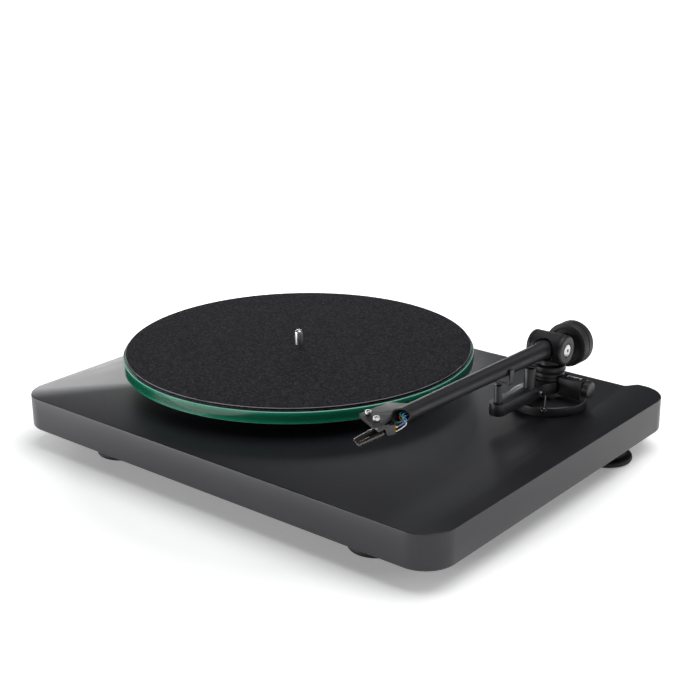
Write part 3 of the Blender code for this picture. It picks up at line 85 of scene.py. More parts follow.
UP = Vector((0, 0, 1))
PIVOT = Vector(JOINTS["arm_pitch"]["pos_m"])
ARM_X = -Vector(JOINTS["counterweight_slide"]["axis"])
ARM = basis(PIVOT, ARM_X, UP)
LEVEL_X = Vector((ARM_X.x, ARM_X.y, 0)).normalized()
YOKE = basis(PIVOT, LEVEL_X, UP)
SPINDLE = Vector(JOINTS["platter_spin"]["pos_m"])
MOTOR = Vector(JOINTS["motor_spin"]["pos_m"])
PLINTH_LOW, PLINTH_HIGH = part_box("plinth")
GLASS_LOW, GLASS_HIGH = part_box("glass_platter")
MAT_LOW, MAT_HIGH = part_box("felt_mat")
GUARD_X = Vector(JOINTS["stylus_guard_slide"]["axis"])
IN_ARM_PLANE = ARM.to_3x3().inverted() @ GUARD_X
HEAD_X = ARM.to_3x3() @ Vector((IN_ARM_PLANE.x, IN_ARM_PLANE.y, 0)).normalized()
ARM_UP = ARM.to_3x3() @ UP


def box_centre(node):
    """The middle of a node's box."""
    low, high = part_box(node)
    return (low + high) / 2


REST_POST = box_centre("rest_post")
BRACKET_X = Vector((REST_POST.x - PIVOT.x, REST_POST.y - PIVOT.y, 0))
BRACKET = basis((PIVOT.x, PIVOT.y, 0), BRACKET_X, UP)
REST = BRACKET_X.length
CUE = BRACKET.inverted() @ Vector(JOINTS["cue_turn"]["pos_m"])
ARM_OVER_REST = BRACKET.inverted() @ (PIVOT + LEVEL_X * REST)
SCREW_INNER = box_centre("cartridge_screw_inner")
SCREW_OUTER = box_centre("cartridge_screw_outer")
HEAD_IN_ARM = ARM.inverted() @ ((SCREW_INNER + SCREW_OUTER) / 2)
HEAD = basis(ARM @ Vector((HEAD_IN_ARM.x, HEAD_IN_ARM.y, 0)), HEAD_X, ARM_UP)
STYLUS = basis(HEAD @ Vector((-7.5 * MM, 0, -6.6 * MM)), GUARD_X, ARM_UP)


# ================================================================ settings a user would change
def srgb(code):
    """A hex sRGB colour as linear red, green and blue."""
    channels = [int(code[i:i + 2], 16) / 255 for i in (1, 3, 5)]
    return tuple(c / 12.92 if c <= 0.04045 else ((c + 0.055) / 1.055) ** 2.4 for c in channels)


def colour_property(name, description, code):
    """A colour setting with its default given as sRGB."""
    return FloatVectorProperty(name=name, description=description, subtype="COLOR", size=3,
                               min=0, max=1, default=srgb(code))


def length_property(name, description, value):
    """A length setting in metres."""
    return FloatProperty(name=name, description=description, unit="LENGTH", default=value,
                         min=0, precision=5)


class RecordPlayerColours(bpy.types.PropertyGroup):
    """Colours of the finishes."""

    lacquer: colour_property("Lacquer", "Satin lacquer on the plinth", "#131319")
    felt: colour_property("Felt", "Wool felt of the mat", "#0E0D11")
    felt_fibre: colour_property("Felt fibre", "Paler fibres in the felt", "#3B3A41")
    # the glass tint is also the base of the painted light on the glass's edge
    glass: colour_property("Glass", "Tint of the glass at its edge", "#0A6A4E")
    plastic: colour_property("Plastic", "Moulded plastic of the arm base", "#0F0F13")
    anodised: colour_property("Anodised", "Anodised aluminium of the arm", "#0F0F13")
    rubber: colour_property("Rubber", "Moulded rubber of the feet", "#19191B")
    steel: colour_property("Steel", "Turned and polished steel", "#B4B4B2")
    brass: colour_property("Brass", "Turned brass of the bearing", "#B5924F")
    smoke: colour_property("Smoke", "Smoky plastic of the stylus guard", "#5E554E")


class RecordPlayerSizes(bpy.types.PropertyGroup):
    """Small sizes that the engineering model leaves plain."""

    plinth_top_edge: length_property("Top edge", "Radius of the plinth's top edge", 1.0 * MM)
    plinth_bottom_edge: length_property("Bottom edge", "Radius of the lower edge", 3.4 * MM)
    glass_arris: length_property("Glass arris", "Width of the glass's ground edge", 0.55 * MM)
    mat_edge: length_property("Mat edge", "Radius of the felt's cut edge", 0.7 * MM)
    mat_ripple: length_property("Mat ripple", "Height of the felt's unevenness", 0.12 * MM)
    fibre: length_property("Fibre", "Spacing of the felt's coarse fibres", 1.1 * MM)
    orange_peel: length_property("Orange peel", "Spacing of the lacquer's ripple", 2.2 * MM)
    knob_flutes: IntProperty(name="Knob flutes", description="Flutes round the knob",
                             default=28, min=6, max=60)


def colours():
    """The scene's colours."""
    return bpy.context.scene.record_player_colours


def sizes():
    """The scene's small sizes."""
    return bpy.context.scene.record_player_sizes


# ================================================================ materials
def add_node(tree, kind, inputs=None, **settings):
    """Add a node with its settings, then set or link its inputs."""
    added = tree.nodes.new(kind)
    for name, value in settings.items():
        setattr(added, name, value)
    for name, value in (inputs or {}).items():
        if isinstance(value, bpy.types.NodeSocket):
            tree.links.new(value, added.inputs[name])
        else:
            added.inputs[name].default_value = value
    return added


def start_material(name, colour, roughness, metallic=0.0, **sockets):
    """A Principled material with the values that are the same all over."""
    material = bpy.data.materials.new(name)
    material.use_nodes = True
    tree = material.node_tree
    shader = tree.nodes["Principled BSDF"]
    shader.inputs["Base Color"].default_value = (*colour, 1)
    shader.inputs["Roughness"].default_value = roughness
    shader.inputs["Metallic"].default_value = metallic
    for socket, value in sockets.items():
        shader.inputs[socket.replace("_", " ")].default_value = value
    place = add_node(tree, "ShaderNodeTexCoord").outputs["Object"]
    return material, tree, shader, place


def grain(tree, place, spacing, detail=3.0, stretch=(1, 1, 1)):
    """A noise whose features are about this far apart."""
    mapped = add_node(tree, "ShaderNodeMapping", {"Vector": place, "Scale": stretch})
    return add_node(tree, "ShaderNodeTexNoise", {
        "Vector": mapped.outputs["Vector"], "Scale": 1 / spacing, "Detail": detail}).outputs["Fac"]


def spread(tree, factor, low, high, low_from=0.3, high_from=0.7):
    """Turn a factor from 0 to 1 into a range of values."""
    return add_node(tree, "ShaderNodeMapRange", {
        "Value": factor, "From Min": low_from, "From Max": high_from, "To Min": low,
        "To Max": high}).outputs["Result"]


def vary_colour(tree, shader, factor, first, second):
    """Mix the base colour from two by a factor that changes over the surface."""
    mix = add_node(tree, "ShaderNodeMix", {0: factor, 6: (*first, 1), 7: (*second, 1)},
                   data_type="RGBA")
    tree.links.new(mix.outputs[2], shader.inputs["Base Color"])


def vary_roughness(tree, shader, factor, low, high):
    """Spread the roughness over a range by a factor that changes over the surface."""
    tree.links.new(spread(tree, factor, low, high), shader.inputs["Roughness"])


def relief(tree, shader, height, depth, strength=1.0):
    """Bump from a height, with its depth in metres."""
    bump = add_node(tree, "ShaderNodeBump", {"Height": height, "Distance": depth,
                                             "Strength": strength})
    tree.links.new(bump.outputs["Normal"], shader.inputs["Normal"])


def shade(colour, amount):
    """A colour made lighter or darker."""
    return tuple(min(1.0, c * amount) for c in colour)


def sprayed_lacquer():
    """Satin black lacquer sprayed on a dense board: a broad sheen and a faint orange peel."""
    base = colours().lacquer
    material, tree, shader, place = start_material("satin_sprayed_lacquer", base, 0.36)
    peel = grain(tree, place, sizes().orange_peel, 2.0)
    cloud = grain(tree, place, 60 * MM, 3.0)
    vary_colour(tree, shader, cloud, shade(base, 0.9), shade(base, 1.12))
    vary_roughness(tree, shader, cloud, 0.34, 0.39)
    relief(tree, shader, peel, 0.012 * MM, 0.5)
    return material


def wool_felt():
    """Pressed wool felt: matted fibres, paler specks and a soft sheen at a low angle."""
    base = colours().felt
    material, tree, shader, place = start_material(
        "pressed_wool_felt", base, 0.95, Sheen_Weight=0.03, Sheen_Roughness=0.6,
        Specular_IOR_Level=0.08)
    fibre = sizes().fibre
    along = grain(tree, place, fibre, 5.0, (0.45, 1.3, 1))
    across = grain(tree, place, fibre, 5.0, (1.3, 0.45, 1))
    matted = add_node(tree, "ShaderNodeMath", {0: along, 1: across}, operation="MAXIMUM").outputs[0]
    speck = spread(tree, matted, 0.0, 1.0, 0.5, 0.72)
    vary_colour(tree, shader, speck, shade(base, 0.82), colours().felt_fibre)
    relief(tree, shader, matted, 0.5 * MM, 0.9)
    return material


def float_glass():
    """Clear float glass, seen green through its edge, with polished arrises whose pale colour is a
    painted highlight.
    """
    return start_material("polished_float_glass", srgb("#BFE6D6"), 0.03,
                          Transmission_Weight=1.0, IOR=1.52)[0]


def glass_edge_painted_light():
    """The polished edge of float glass: its deep green tint lit with painted light that stands in
    for light carried through the glass, and a painted highlight that pales it towards both faces.
    """
    base = colours().glass
    material, tree, shader, place = start_material(
        "glass_edge_tint_and_painted_light", base, 0.12, Coat_Weight=0.6, Coat_Roughness=0.04,
        Transmission_Weight=0.25, IOR=1.52)
    height = add_node(tree, "ShaderNodeSeparateXYZ", {0: place}).outputs[2]
    middle = (GLASS_LOW.z + GLASS_HIGH.z) / 2
    offset = add_node(tree, "ShaderNodeMath", {0: height, 1: middle}, operation="SUBTRACT")
    away = add_node(tree, "ShaderNodeMath", {0: offset.outputs[0]}, operation="ABSOLUTE")
    # painted highlight: the edge turns paler near the top and bottom faces, like light caught at
    # the bevels
    painted_highlight = spread(tree, away.outputs[0], 0.0, 1.0, 1.5 * MM, 5 * MM)
    vary_colour(tree, shader, painted_highlight, shade(base, 0.8), shade(base, 2.4))
    return material


def moulded(name, base, roughness, spark=0.25 * MM, depth=0.02 * MM, specular=0.5):
    """Moulded plastic or rubber: a fine spark-eroded grain over a slightly uneven gloss."""
    material, tree, shader, place = start_material(name, base, roughness,
                                                   Specular_IOR_Level=specular)
    fine = grain(tree, place, spark, 2.0)
    broad = grain(tree, place, 9 * MM, 2.0)
    vary_roughness(tree, shader, broad, roughness - 0.05, roughness + 0.05)
    vary_colour(tree, shader, broad, shade(base, 0.9), shade(base, 1.12))
    relief(tree, shader, fine, depth, 0.5)
    return material


def anodised_aluminium():
    """Bead-blasted and black anodised aluminium: a soft, slightly metallic sheen."""
    base = colours().anodised
    material, tree, shader, place = start_material("black_anodised_aluminium", base, 0.4,
                                                   Specular_IOR_Level=0.4)
    blast = grain(tree, place, 0.3 * MM, 2.0)
    broad = grain(tree, place, 14 * MM, 2.0)
    vary_roughness(tree, shader, broad, 0.46, 0.54)
    vary_colour(tree, shader, broad, shade(base, 0.92), shade(base, 1.1))
    relief(tree, shader, blast, 0.01 * MM, 0.4)
    return material


def turned_metal(name, base, roughness):
    """Turned and polished metal: fine rings from the tool round each piece's length."""
    material, tree, shader, place = start_material(name, base, roughness, 1.0)
    rings = grain(tree, place, 0.35 * MM, 2.0, (0.12, 0.12, 1))
    vary_roughness(tree, shader, rings, roughness - 0.06, roughness + 0.08)
    relief(tree, shader, rings, 0.004 * MM, 0.5)
    return material


def insulated(name, code):
    """Soft coloured insulation on a hair-thin lead."""
    return moulded(name, srgb(code), 0.42, 0.5 * MM, 0.01 * MM)


def smoky_styrene():
    """Smoky see-through styrene, polished, with faint flow marks from its mould."""
    material, tree, shader, place = start_material(
        "smoky_styrene", colours().smoke, 0.12, Transmission_Weight=0.85, IOR=1.55)
    flow = grain(tree, place, 3 * MM, 2.0, (1, 1, 0.4))
    relief(tree, shader, flow, 0.06 * MM, 0.5)
    return material


def circuit_board():
    """Green solder resist over fibreglass, with a faint weave."""
    base = srgb("#1D5A36")
    material, tree, shader, place = start_material("solder_resist", base, 0.35)
    weave = add_node(tree, "ShaderNodeTexChecker", {"Vector": place, "Scale": 1 / (0.8 * MM)})
    vary_colour(tree, shader, weave.outputs["Fac"], base, shade(base, 1.25))
    return material


MATERIALS = {}


def make_materials():
    """Every finish, by the name that the pieces use."""
    plastic = colours().plastic
    MATERIALS.update({
        "lacquer": sprayed_lacquer(),
        "felt": wool_felt(),
        "glass": float_glass(),
        # edge green with painted light standing in for light carried through the glass
        "glass_edge_painted_light": glass_edge_painted_light(),
        # pale green painted highlight along the glass's bevelled arrises
        "glass_arris": moulded("glass_arris_painted_highlight", srgb("#74AE9A"), 0.35, 0.3 * MM, 0.01 * MM),
        # pale grey painted highlight for the thin light line where the mat's cut edge catches light
        "felt_rim_painted_highlight": moulded("felt_edge_painted_highlight", srgb("#8C8B92"), 0.9, 0.4 * MM, 0.1 * MM, 0.1),
        "matt_black": moulded("matt_black_coating", srgb("#161618"), 0.6, 0.3 * MM, 0.015 * MM),
        "black_steel": turned_metal("black_oxide_steel", srgb("#3A3A3E"), 0.3),
        "plastic": moulded("satin_moulded_abs", plastic, 0.42),
        "gloss_plastic": moulded("polished_abs", shade(plastic, 0.8), 0.2, 2 * MM, 0.004 * MM),
        "rubber": moulded("moulded_rubber", colours().rubber, 0.62, 0.5 * MM, 0.04 * MM, 0.35),
        "belt": moulded("ground_belt_rubber", srgb("#141416"), 0.55, 0.5 * MM, 0.02 * MM, 0.4),
        "anodised": anodised_aluminium(),
        "steel": turned_metal("polished_steel", colours().steel, 0.32),
        "dark_steel": turned_metal("blackened_steel", srgb("#4A4A4E"), 0.3),
        "brass": turned_metal("turned_brass", colours().brass, 0.28),
        "gold": turned_metal("gold_flash", srgb("#D9B25A"), 0.22),
        "smoke": smoky_styrene(),
        "board": circuit_board(),
        "red": insulated("red_insulation", "#C8232F"),
        "green": insulated("green_insulation", "#2E9E6A"),
        "blue": insulated("blue_insulation", "#3D83D6"),
        "white": insulated("white_insulation", "#ECEAE4"),
        "marking": insulated("pale_marking_ink", "#F2F2F2"),
        "red_mark": insulated("red_marking_ink", "#B5263A"),
    })


# ================================================================ modelling helpers
def lathe(profile, steps=96, closed=False):
    """A profile of (radius, height) spun about Z, as a bmesh."""
    bm = bmesh.new()
    verts = [bm.verts.new((radius, 0, height)) for radius, height in profile]
    pairs = list(zip(verts, verts[1:])) + ([(verts[-1], verts[0])] if closed else [])
    edges = [bm.edges.new(pair) for pair in pairs]
    bmesh.ops.spin(bm, geom=verts + edges, cent=(0, 0, 0), axis=(0, 0, 1),
                   angle=TAU, steps=steps, use_merge=True)
    bmesh.ops.remove_doubles(bm, verts=bm.verts, dist=1e-6)
    bmesh.ops.recalc_face_normals(bm, faces=bm.faces)
    return bm


def extrude(outline, bottom, top, edges=()):
    """A flat outline raised to a slab, with (height, width, segments) edges rounded."""
    bm = bmesh.new()
    face = bm.faces.new([bm.verts.new((x, y, bottom)) for x, y in outline])
    raised = bmesh.ops.extrude_face_region(bm, geom=[face])
    lifted = [v for v in raised["geom"] if isinstance(v, bmesh.types.BMVert)]
    bmesh.ops.translate(bm, vec=(0, 0, top - bottom), verts=lifted)
    bmesh.ops.recalc_face_normals(bm, faces=bm.faces)
    for height, width, segments in edges:
        rim = [e for e in bm.edges if all(abs(v.co.z - height) < 1e-6 for v in e.verts)]
        round_edges(bm, rim, width, segments)
    return bm


def round_edges(bm, edges, width, segments=3):
    """Round some edges."""
    bmesh.ops.bevel(bm, geom=edges, offset=width, offset_type="OFFSET", segments=segments,
                    profile=0.5, affect="EDGES", material=-1, clamp_overlap=True)
    return bm


def cuboid(low, high, edge=0.0, segments=3):
    """A box between two corners, with every edge rounded."""
    bm = bmesh.new()
    bmesh.ops.create_cube(bm, size=1)
    low = Vector(low)
    high = Vector(high)
    bmesh.ops.scale(bm, vec=high - low, verts=bm.verts)
    bmesh.ops.translate(bm, vec=(low + high) / 2, verts=bm.verts)
    return round_edges(bm, bm.edges[:], edge, segments) if edge else bm


def drum(radius, bottom, top, edge=0.0, steps=64):
    """A solid cylinder along Z with rounded ends."""
    edge = max(edge, 0.02 * MM)
    corner = [(radius - edge + edge * math.sin(a), top - edge + edge * math.cos(a))
              for a in (0, TAU / 16, TAU / 8, 3 * TAU / 16, TAU / 4)]
    mirrored = [(r, bottom + top - h) for r, h in reversed(corner)]
    return lathe([(0, top)] + corner + mirrored + [(0, bottom)], steps)


def arc(centre, radius, start, end, steps):
    """Points along an arc, with the angles in degrees."""
    angles = [math.radians(start + (end - start) * i / steps) for i in range(steps + 1)]
    return [(centre[0] + radius * math.cos(a), centre[1] + radius * math.sin(a)) for a in angles]


def smooth_path(corners, steps=8):
    """A smooth path through a few points."""
    points = [Vector(c) for c in corners]
    points = [2 * points[0] - points[1]] + points + [2 * points[-1] - points[-2]]
    path = []
    for a, b, c, d in zip(points, points[1:], points[2:], points[3:]):
        for i in range(steps):
            t = i / steps
            path.append(0.5 * (2 * b + (c - a) * t + (2 * a - 5 * b + 4 * c - d) * t * t
                               + (3 * b - a - 3 * c + d) * t ** 3))
    return path + [points[-2]]


def swept(points, radius, cyclic=False, resolution=3):
    """A round wire along a path, as a bmesh with its ends closed."""
    curve = bpy.data.curves.new("path", "CURVE")
    curve.dimensions = "3D"
    curve.bevel_depth = radius
    curve.bevel_resolution = resolution
    curve.use_fill_caps = not cyclic
    spline = curve.splines.new("POLY")
    spline.points.add(len(points) - 1)
    for point, place in zip(spline.points, points):
        point.co = (*place, 1)
    spline.use_cyclic_u = cyclic
    source = bpy.data.objects.new("path", curve)
    bm = evaluated(source)
    bmesh.ops.remove_doubles(bm, verts=bm.verts, dist=1e-6)
    bmesh.ops.recalc_face_normals(bm, faces=bm.faces)
    return bm


def evaluated(source):
    """The evaluated mesh of a loose object, as a bmesh; the object is removed."""
    bpy.context.scene.collection.objects.link(source)
    bpy.context.view_layer.update()
    graph = bpy.context.evaluated_depsgraph_get()
    mesh = bpy.data.meshes.new_from_object(source.evaluated_get(graph))
    bm = bmesh.new()
    bm.from_mesh(mesh)
    bpy.data.objects.remove(source)
    bpy.data.meshes.remove(mesh)
    return bm


def loose_object(bm):
    """A bmesh as an object that isn't in the scene yet."""
    mesh = bpy.data.meshes.new("shape")
    bm.to_mesh(mesh)
    bm.free()
    return bpy.data.objects.new("shape", mesh)


def boolean(target, tools, operation="DIFFERENCE"):
    """Cut shapes from a shape or join them to it. Bmeshes go in and a bmesh comes out."""
    body = loose_object(target)
    helpers = []
    for tool in tools:
        helper = loose_object(tool)
        bpy.context.scene.collection.objects.link(helper)
        helpers.append(helper)
        modifier = body.modifiers.new("Boolean", "BOOLEAN")
        modifier.operation = operation
        modifier.solver = "EXACT"
        modifier.object = helper
    bm = evaluated(body)
    for helper in helpers:
        bpy.data.objects.remove(helper)
    bmesh.ops.remove_doubles(bm, verts=bm.verts, dist=1e-6)
    return bm


def moved(bm, matrix):
    """A bmesh carried to its place."""
    bmesh.ops.transform(bm, matrix=matrix, verts=bm.verts)
    return bm


ALONG_X = Matrix.Rotation(math.radians(90), 4, "Y")
ALONG_Y = Matrix.Rotation(math.radians(-90), 4, "X")


def piece(name, bm, matrix, material, body, replaces=(), angle=32):
    """Turn a bmesh into a finished piece that rides on a body."""
    moved(bm, matrix)
    mesh = bpy.data.meshes.new(name)
    bm.to_mesh(mesh)
    bm.free()
    obj = bpy.data.objects.new(name, mesh)
    bpy.context.scene.collection.objects.link(obj)
    mesh.materials.append(MATERIALS[material])
    mesh.shade_smooth()
    mesh.set_sharp_from_angle(angle=math.radians(angle))
    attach(obj, body)
    if replaces:
        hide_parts(*replaces)
    return obj


def dress(material, *nodes):
    """Give engineering nodes that stay visible their finish."""
    for name in nodes:
        obj = frame["nodes"][name]
        obj.data.materials.clear()
        obj.data.materials.append(MATERIALS[material])
        obj.data.shade_smooth()
        obj.data.set_sharp_from_angle(angle=math.radians(32))


# ================================================================ plinth and feet
RECESS_FACE = 156.7 * MM
RECESS_HALF_WIDTH = 174 * MM
RECESS_BLEND = 10 * MM
PLINTH_CORNER = 25 * MM
CORNER_STEPS = 24


def plinth_outline():
    """The plinth from above: round corners and a shallow bay along the rear edge."""
    half_x = PLINTH_HIGH.x
    half_y = PLINTH_HIGH.y
    corner = PLINTH_CORNER
    points = arc((-half_x + corner, -half_y + corner), corner, 180, 270, CORNER_STEPS)
    points += arc((half_x - corner, -half_y + corner), corner, 270, 360, CORNER_STEPS)
    rear = arc((half_x - corner, half_y - corner), corner, 0, 90, CORNER_STEPS)
    for i in range(1, CORNER_STEPS + 1):
        share = i / CORNER_STEPS
        drop = (half_y - RECESS_FACE) * (1 - math.cos(math.pi * share)) / 2
        rear.append((RECESS_HALF_WIDTH + RECESS_BLEND * (1 - share), half_y - drop))
    return points + rear + [(-x, y) for x, y in reversed(rear)]


def build_plinth():
    """The lacquered board with every well and hole that the works sit in."""
    bottom = PLINTH_LOW.z
    top = PLINTH_HIGH.z
    board = extrude(plinth_outline(), bottom, top, (
        (top, sizes().plinth_top_edge, 3), (bottom, sizes().plinth_bottom_edge, 5)))
    below = bottom - 5 * MM
    above = top + 5 * MM
    arm = upright(PIVOT.x, PIVOT.y)
    spindle = upright(SPINDLE.x, SPINDLE.y)
    motor = upright(MOTOR.x, MOTOR.y)
    cover_low, cover_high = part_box("bottom_cover")
    gap = 0.3 * MM
    recess = cuboid((cover_low.x - gap, cover_low.y - gap, below),
                    (cover_high.x + gap, cover_high.y + gap, bottom + 2.5 * MM))
    upper = [e for e in recess.edges if abs(e.verts[0].co.z - e.verts[1].co.z) > 1 * MM]
    round_edges(recess, upper, 8 * MM, 8)
    board_low, board_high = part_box("motor_board")
    well = cuboid((board_low.x - 2 * MM, board_low.y - 2 * MM, below),
                  (board_high.x + 2 * MM, board_high.y + 2 * MM, board_high.z + 14 * MM))
    switch_low, switch_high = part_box("switch_housing")
    inset = 2.1 * MM
    switch = cuboid((switch_low.x + inset, switch_low.y + inset, below),
                    (switch_high.x - inset, switch_high.y - inset, switch_high.z + 2 * MM))
    motor_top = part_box("motor_body")[1].z - 1 * MM
    cutters = [
        moved(drum(9.4 * MM, below, above), spindle), moved(drum(11.9 * MM, below, above), arm),
        moved(drum(19 * MM, below, bottom + 8 * MM), arm),
        moved(drum(24 * MM, below, motor_top), motor),
        moved(drum(10.3 * MM, below, above), motor), recess, well, switch]
    middle = (top + bottom) / 2
    for node, radius, depth in (("phono_socket_left", 4.6, 16), ("phono_socket_right", 4.6, 16),
                                ("power_inlet", 5, 18), ("terminal_screw_1", 1.5, 9),
                                ("terminal_screw_2", 1.5, 9)):
        hole = drum(radius * MM, -depth * MM, 5 * MM, steps=32)
        cutters.append(moved(hole, upright(box_centre(node).x, RECESS_FACE, middle) @ ALONG_Y))
    for i in range(4):
        screw = box_centre(f"cover_screw_{i + 1}")
        cutters.append(moved(drum(1.7 * MM, below, bottom + 12 * MM, steps=24),
                             upright(screw.x, screw.y)))
    piece("plinth_board", boolean(board, cutters), Matrix(), "lacquer", "chassis",
          ["plinth"], 25)


def build_feet():
    """Rubber feet: a tapered neck on a wide sole with a rounded rim."""
    for node in ("foot_front_left", "foot_front_right", "foot_rear_left", "foot_rear_right"):
        low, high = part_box(node)
        middle = (low + high) / 2
        wide = (high.x - low.x) / 2
        top = high.z
        neck = 15.5 * MM
        rim = [(wide - 1.6 * MM + 1.6 * MM * math.cos(a), 2.9 * MM + 2.4 * MM * math.sin(a))
               for a in (math.radians(d) for d in range(75, -91, -15))]
        profile = [(0, top), (neck - 1.6 * MM, top), (neck - 0.6 * MM, top - 0.4 * MM),
                   (neck - 0.1 * MM, top - 1.4 * MM), (neck, 7.6 * MM), (neck + 0.3 * MM, 6.4 * MM),
                   (neck + 1.4 * MM, 5.5 * MM)] + rim
        profile += [(wide - 2.4 * MM, 0), (6 * MM, 0), (5.6 * MM, 0.4 * MM), (5.5 * MM, 5 * MM),
                    (0, 5 * MM)]
        piece(node.replace("foot", "rubber_foot"), lathe(profile, 72),
              upright(middle.x, middle.y), "rubber", "chassis", [node])


# ================================================================ platter and drive
GROOVE_RADIUS = 49 * MM        # the bottom of the sub-platter's belt groove
BELT_STANDOFF = 1.4 * MM       # from a groove's bottom to the middle of the belt
DRIVE_RATIO = 7.5              # turns of the motor for one of the platter
FAST_STEP = 1.35               # 45 rpm over 33 1/3 rpm


def build_platter():
    """Spindle, sub-platter, glass disc and felt mat."""
    place = upright(SPINDLE.x, SPINDLE.y)
    spindle_low, spindle_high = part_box("platter_spindle")
    tip = spindle_high.z
    thin = 3.6 * MM
    shaft = 5.5 * MM
    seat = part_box("sub_platter")[1].z
    dome = [(thin * math.sin(a) * 0.94, tip - 2.4 * MM * (1 - math.cos(a)))
            for a in (math.radians(d) for d in range(0, 91, 10))]
    piece("spindle", lathe(dome + [
        (thin, tip - 3.2 * MM), (thin, seat), (shaft, seat - 0.8 * MM),
        (shaft, spindle_low.z + 1 * MM), (shaft - 1 * MM, spindle_low.z), (0, spindle_low.z)], 64),
        place, "steel", "platter", ["platter_spindle"])
    build_sub_platter(place, seat)
    radius = GLASS_HIGH.x - SPINDLE.x
    hole = 3.9 * MM
    arris = sizes().glass_arris
    top = GLASS_HIGH.z
    bottom = GLASS_LOW.z
    piece("glass_disc", lathe([
        (radius - arris, top), (radius, top - arris), (radius, bottom + arris),
        (radius - arris, bottom), (hole, bottom), (hole, top)], 256, True),
        place, "glass", "platter", ["glass_platter"])
    disc = bpy.data.objects["glass_disc"]
    # the edge faces get the green painted light and painted highlight
    tint_faces(disc, "glass_edge_painted_light", radius - arris / 2, 0.0, 0.2)
    # the arris faces get a pale green painted highlight
    tint_faces(disc, "glass_arris", radius - arris, 0.2, 0.95)
    build_mat(place, hole)


def tint_faces(obj, material, reach, least, most):
    """Give another material to the faces beyond a radius whose slope lies between two bounds; here
    it carries the painted light and painted highlights at the glass's and felt's edges.
    """
    obj.data.materials.append(MATERIALS[material])
    index = len(obj.data.materials) - 1
    for face in obj.data.polygons:
        out = (face.center - SPINDLE).xy.length
        if out > reach - 1 * MM and least <= abs(face.normal.z) < most and out > 0.9 * reach:
            face.material_index = index


def build_sub_platter(place, top):
    """The moulded sub-platter with the groove that the belt runs in."""
    low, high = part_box("sub_platter")
    rim = (high.x - low.x) / 2
    bottom = low.z
    belt = box_centre("drive_belt").z
    groove = 1.3 * MM
    inner = rim - 6 * MM
    hub = 14 * MM
    web = top - 2.4 * MM
    cradle = [(rim - 1 * MM * math.cos(math.radians(a)), belt + groove * math.sin(math.radians(a)))
              for a in range(75, -76, -25)]
    piece("moulded_sub_platter", lathe([
        (inner, top), (rim - 0.3 * MM, top), (rim, top - 0.3 * MM)] + cradle + [
        (rim, bottom + 0.3 * MM), (rim - 0.3 * MM, bottom), (inner, bottom),
        (inner - 1 * MM, web - 2.6 * MM), (hub + 1 * MM, web - 2.6 * MM), (hub, bottom),
        (5.8 * MM, bottom), (5.8 * MM, top - 0.6 * MM), (hub, top - 0.6 * MM),
        (hub + 1 * MM, web), (inner - 1 * MM, web)], 144, True),
        place, "plastic", "platter", ["sub_platter"])


def build_mat(place, hole):
    """The felt mat: a soft cut edge and a barely uneven top."""
    radius = MAT_HIGH.x - SPINDLE.x
    top = MAT_HIGH.z
    bottom = MAT_LOW.z
    edge = sizes().mat_edge
    rings = 26
    inner_edge = 0.4 * MM
    upper = [(hole + (radius - edge - hole) * i / rings, top) for i in range(rings, 0, -1)]
    corner = [(radius - edge + edge * math.sin(a), top - edge + edge * math.cos(a))
              for a in (TAU / 16, TAU / 8, 3 * TAU / 16, TAU / 4)]
    lower = [(radius, bottom + 0.2 * MM), (radius - 0.2 * MM, bottom), (hole, bottom)]
    profile = upper[::-1] + corner + lower + [(hole, top - inner_edge)]
    bm = lathe(profile[::-1], 160, True)
    moved(bm, place)
    for vert in bm.verts:
        if vert.co.z > top - 0.1 * MM:
            wave = noise.noise(vert.co / (22 * MM)) + 0.5 * noise.noise(vert.co / (9 * MM))
            vert.co.z += sizes().mat_ripple * (wave - 1.5) * 0.5
    mat = piece("felt_slipmat", bm, Matrix(), "felt", "platter", ["felt_mat"], 60)
    # painted highlight on the mat's rounded edge
    tint_faces(mat, "felt_rim_painted_highlight", radius - edge, 0.3, 0.97)


def build_drive():
    """Belt, two-step pulley, motor and main bearing."""
    low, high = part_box("drive_belt")
    belt = (low.z + high.z) / 2
    radius = 1.1 * MM
    reach = MOTOR - SPINDLE
    reach.z = 0
    slow = GROOVE_RADIUS / DRIVE_RATIO
    big = GROOVE_RADIUS + BELT_STANDOFF
    small = slow + BELT_STANDOFF
    lean = math.degrees(math.acos((big - small) / reach.length))
    heading = math.degrees(math.atan2(reach.y, reach.x))
    sweep = 360 - 2 * lean
    points = arc(SPINDLE, big, heading + lean, heading + lean + sweep, 120)
    points += arc(MOTOR, small, heading + lean + sweep, heading + lean + 360, 24)
    piece("rubber_belt", swept([(x, y, belt) for x, y in points], radius * 0.99, True, 3),
          Matrix(), "belt", "chassis", ["drive_belt"], 60)
    bottom, top = (corner.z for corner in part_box("motor_pulley"))
    fast = slow * FAST_STEP
    lip = 0.8 * MM
    half = 1.4 * MM
    step = belt + half + 1 * MM
    piece("stepped_pulley", lathe([
        (0, top), (fast + lip, top), (fast, top - 0.6 * MM), (fast, step + 0.8 * MM),
        (fast + lip, step + 0.2 * MM), (slow + lip, step), (slow, belt + half), (slow, belt - half),
        (slow + lip, belt - half - lip), (slow + lip, bottom), (1.8 * MM, bottom),
        (1.8 * MM, top - 0.9 * MM), (0, top - 0.9 * MM)], 72),
        upright(MOTOR.x, MOTOR.y), "steel", "motor_rotor", ["motor_pulley"])
    dress("steel", "motor_body", "motor_shaft", "bearing_ball")
    dress("brass", "bearing_sleeve")


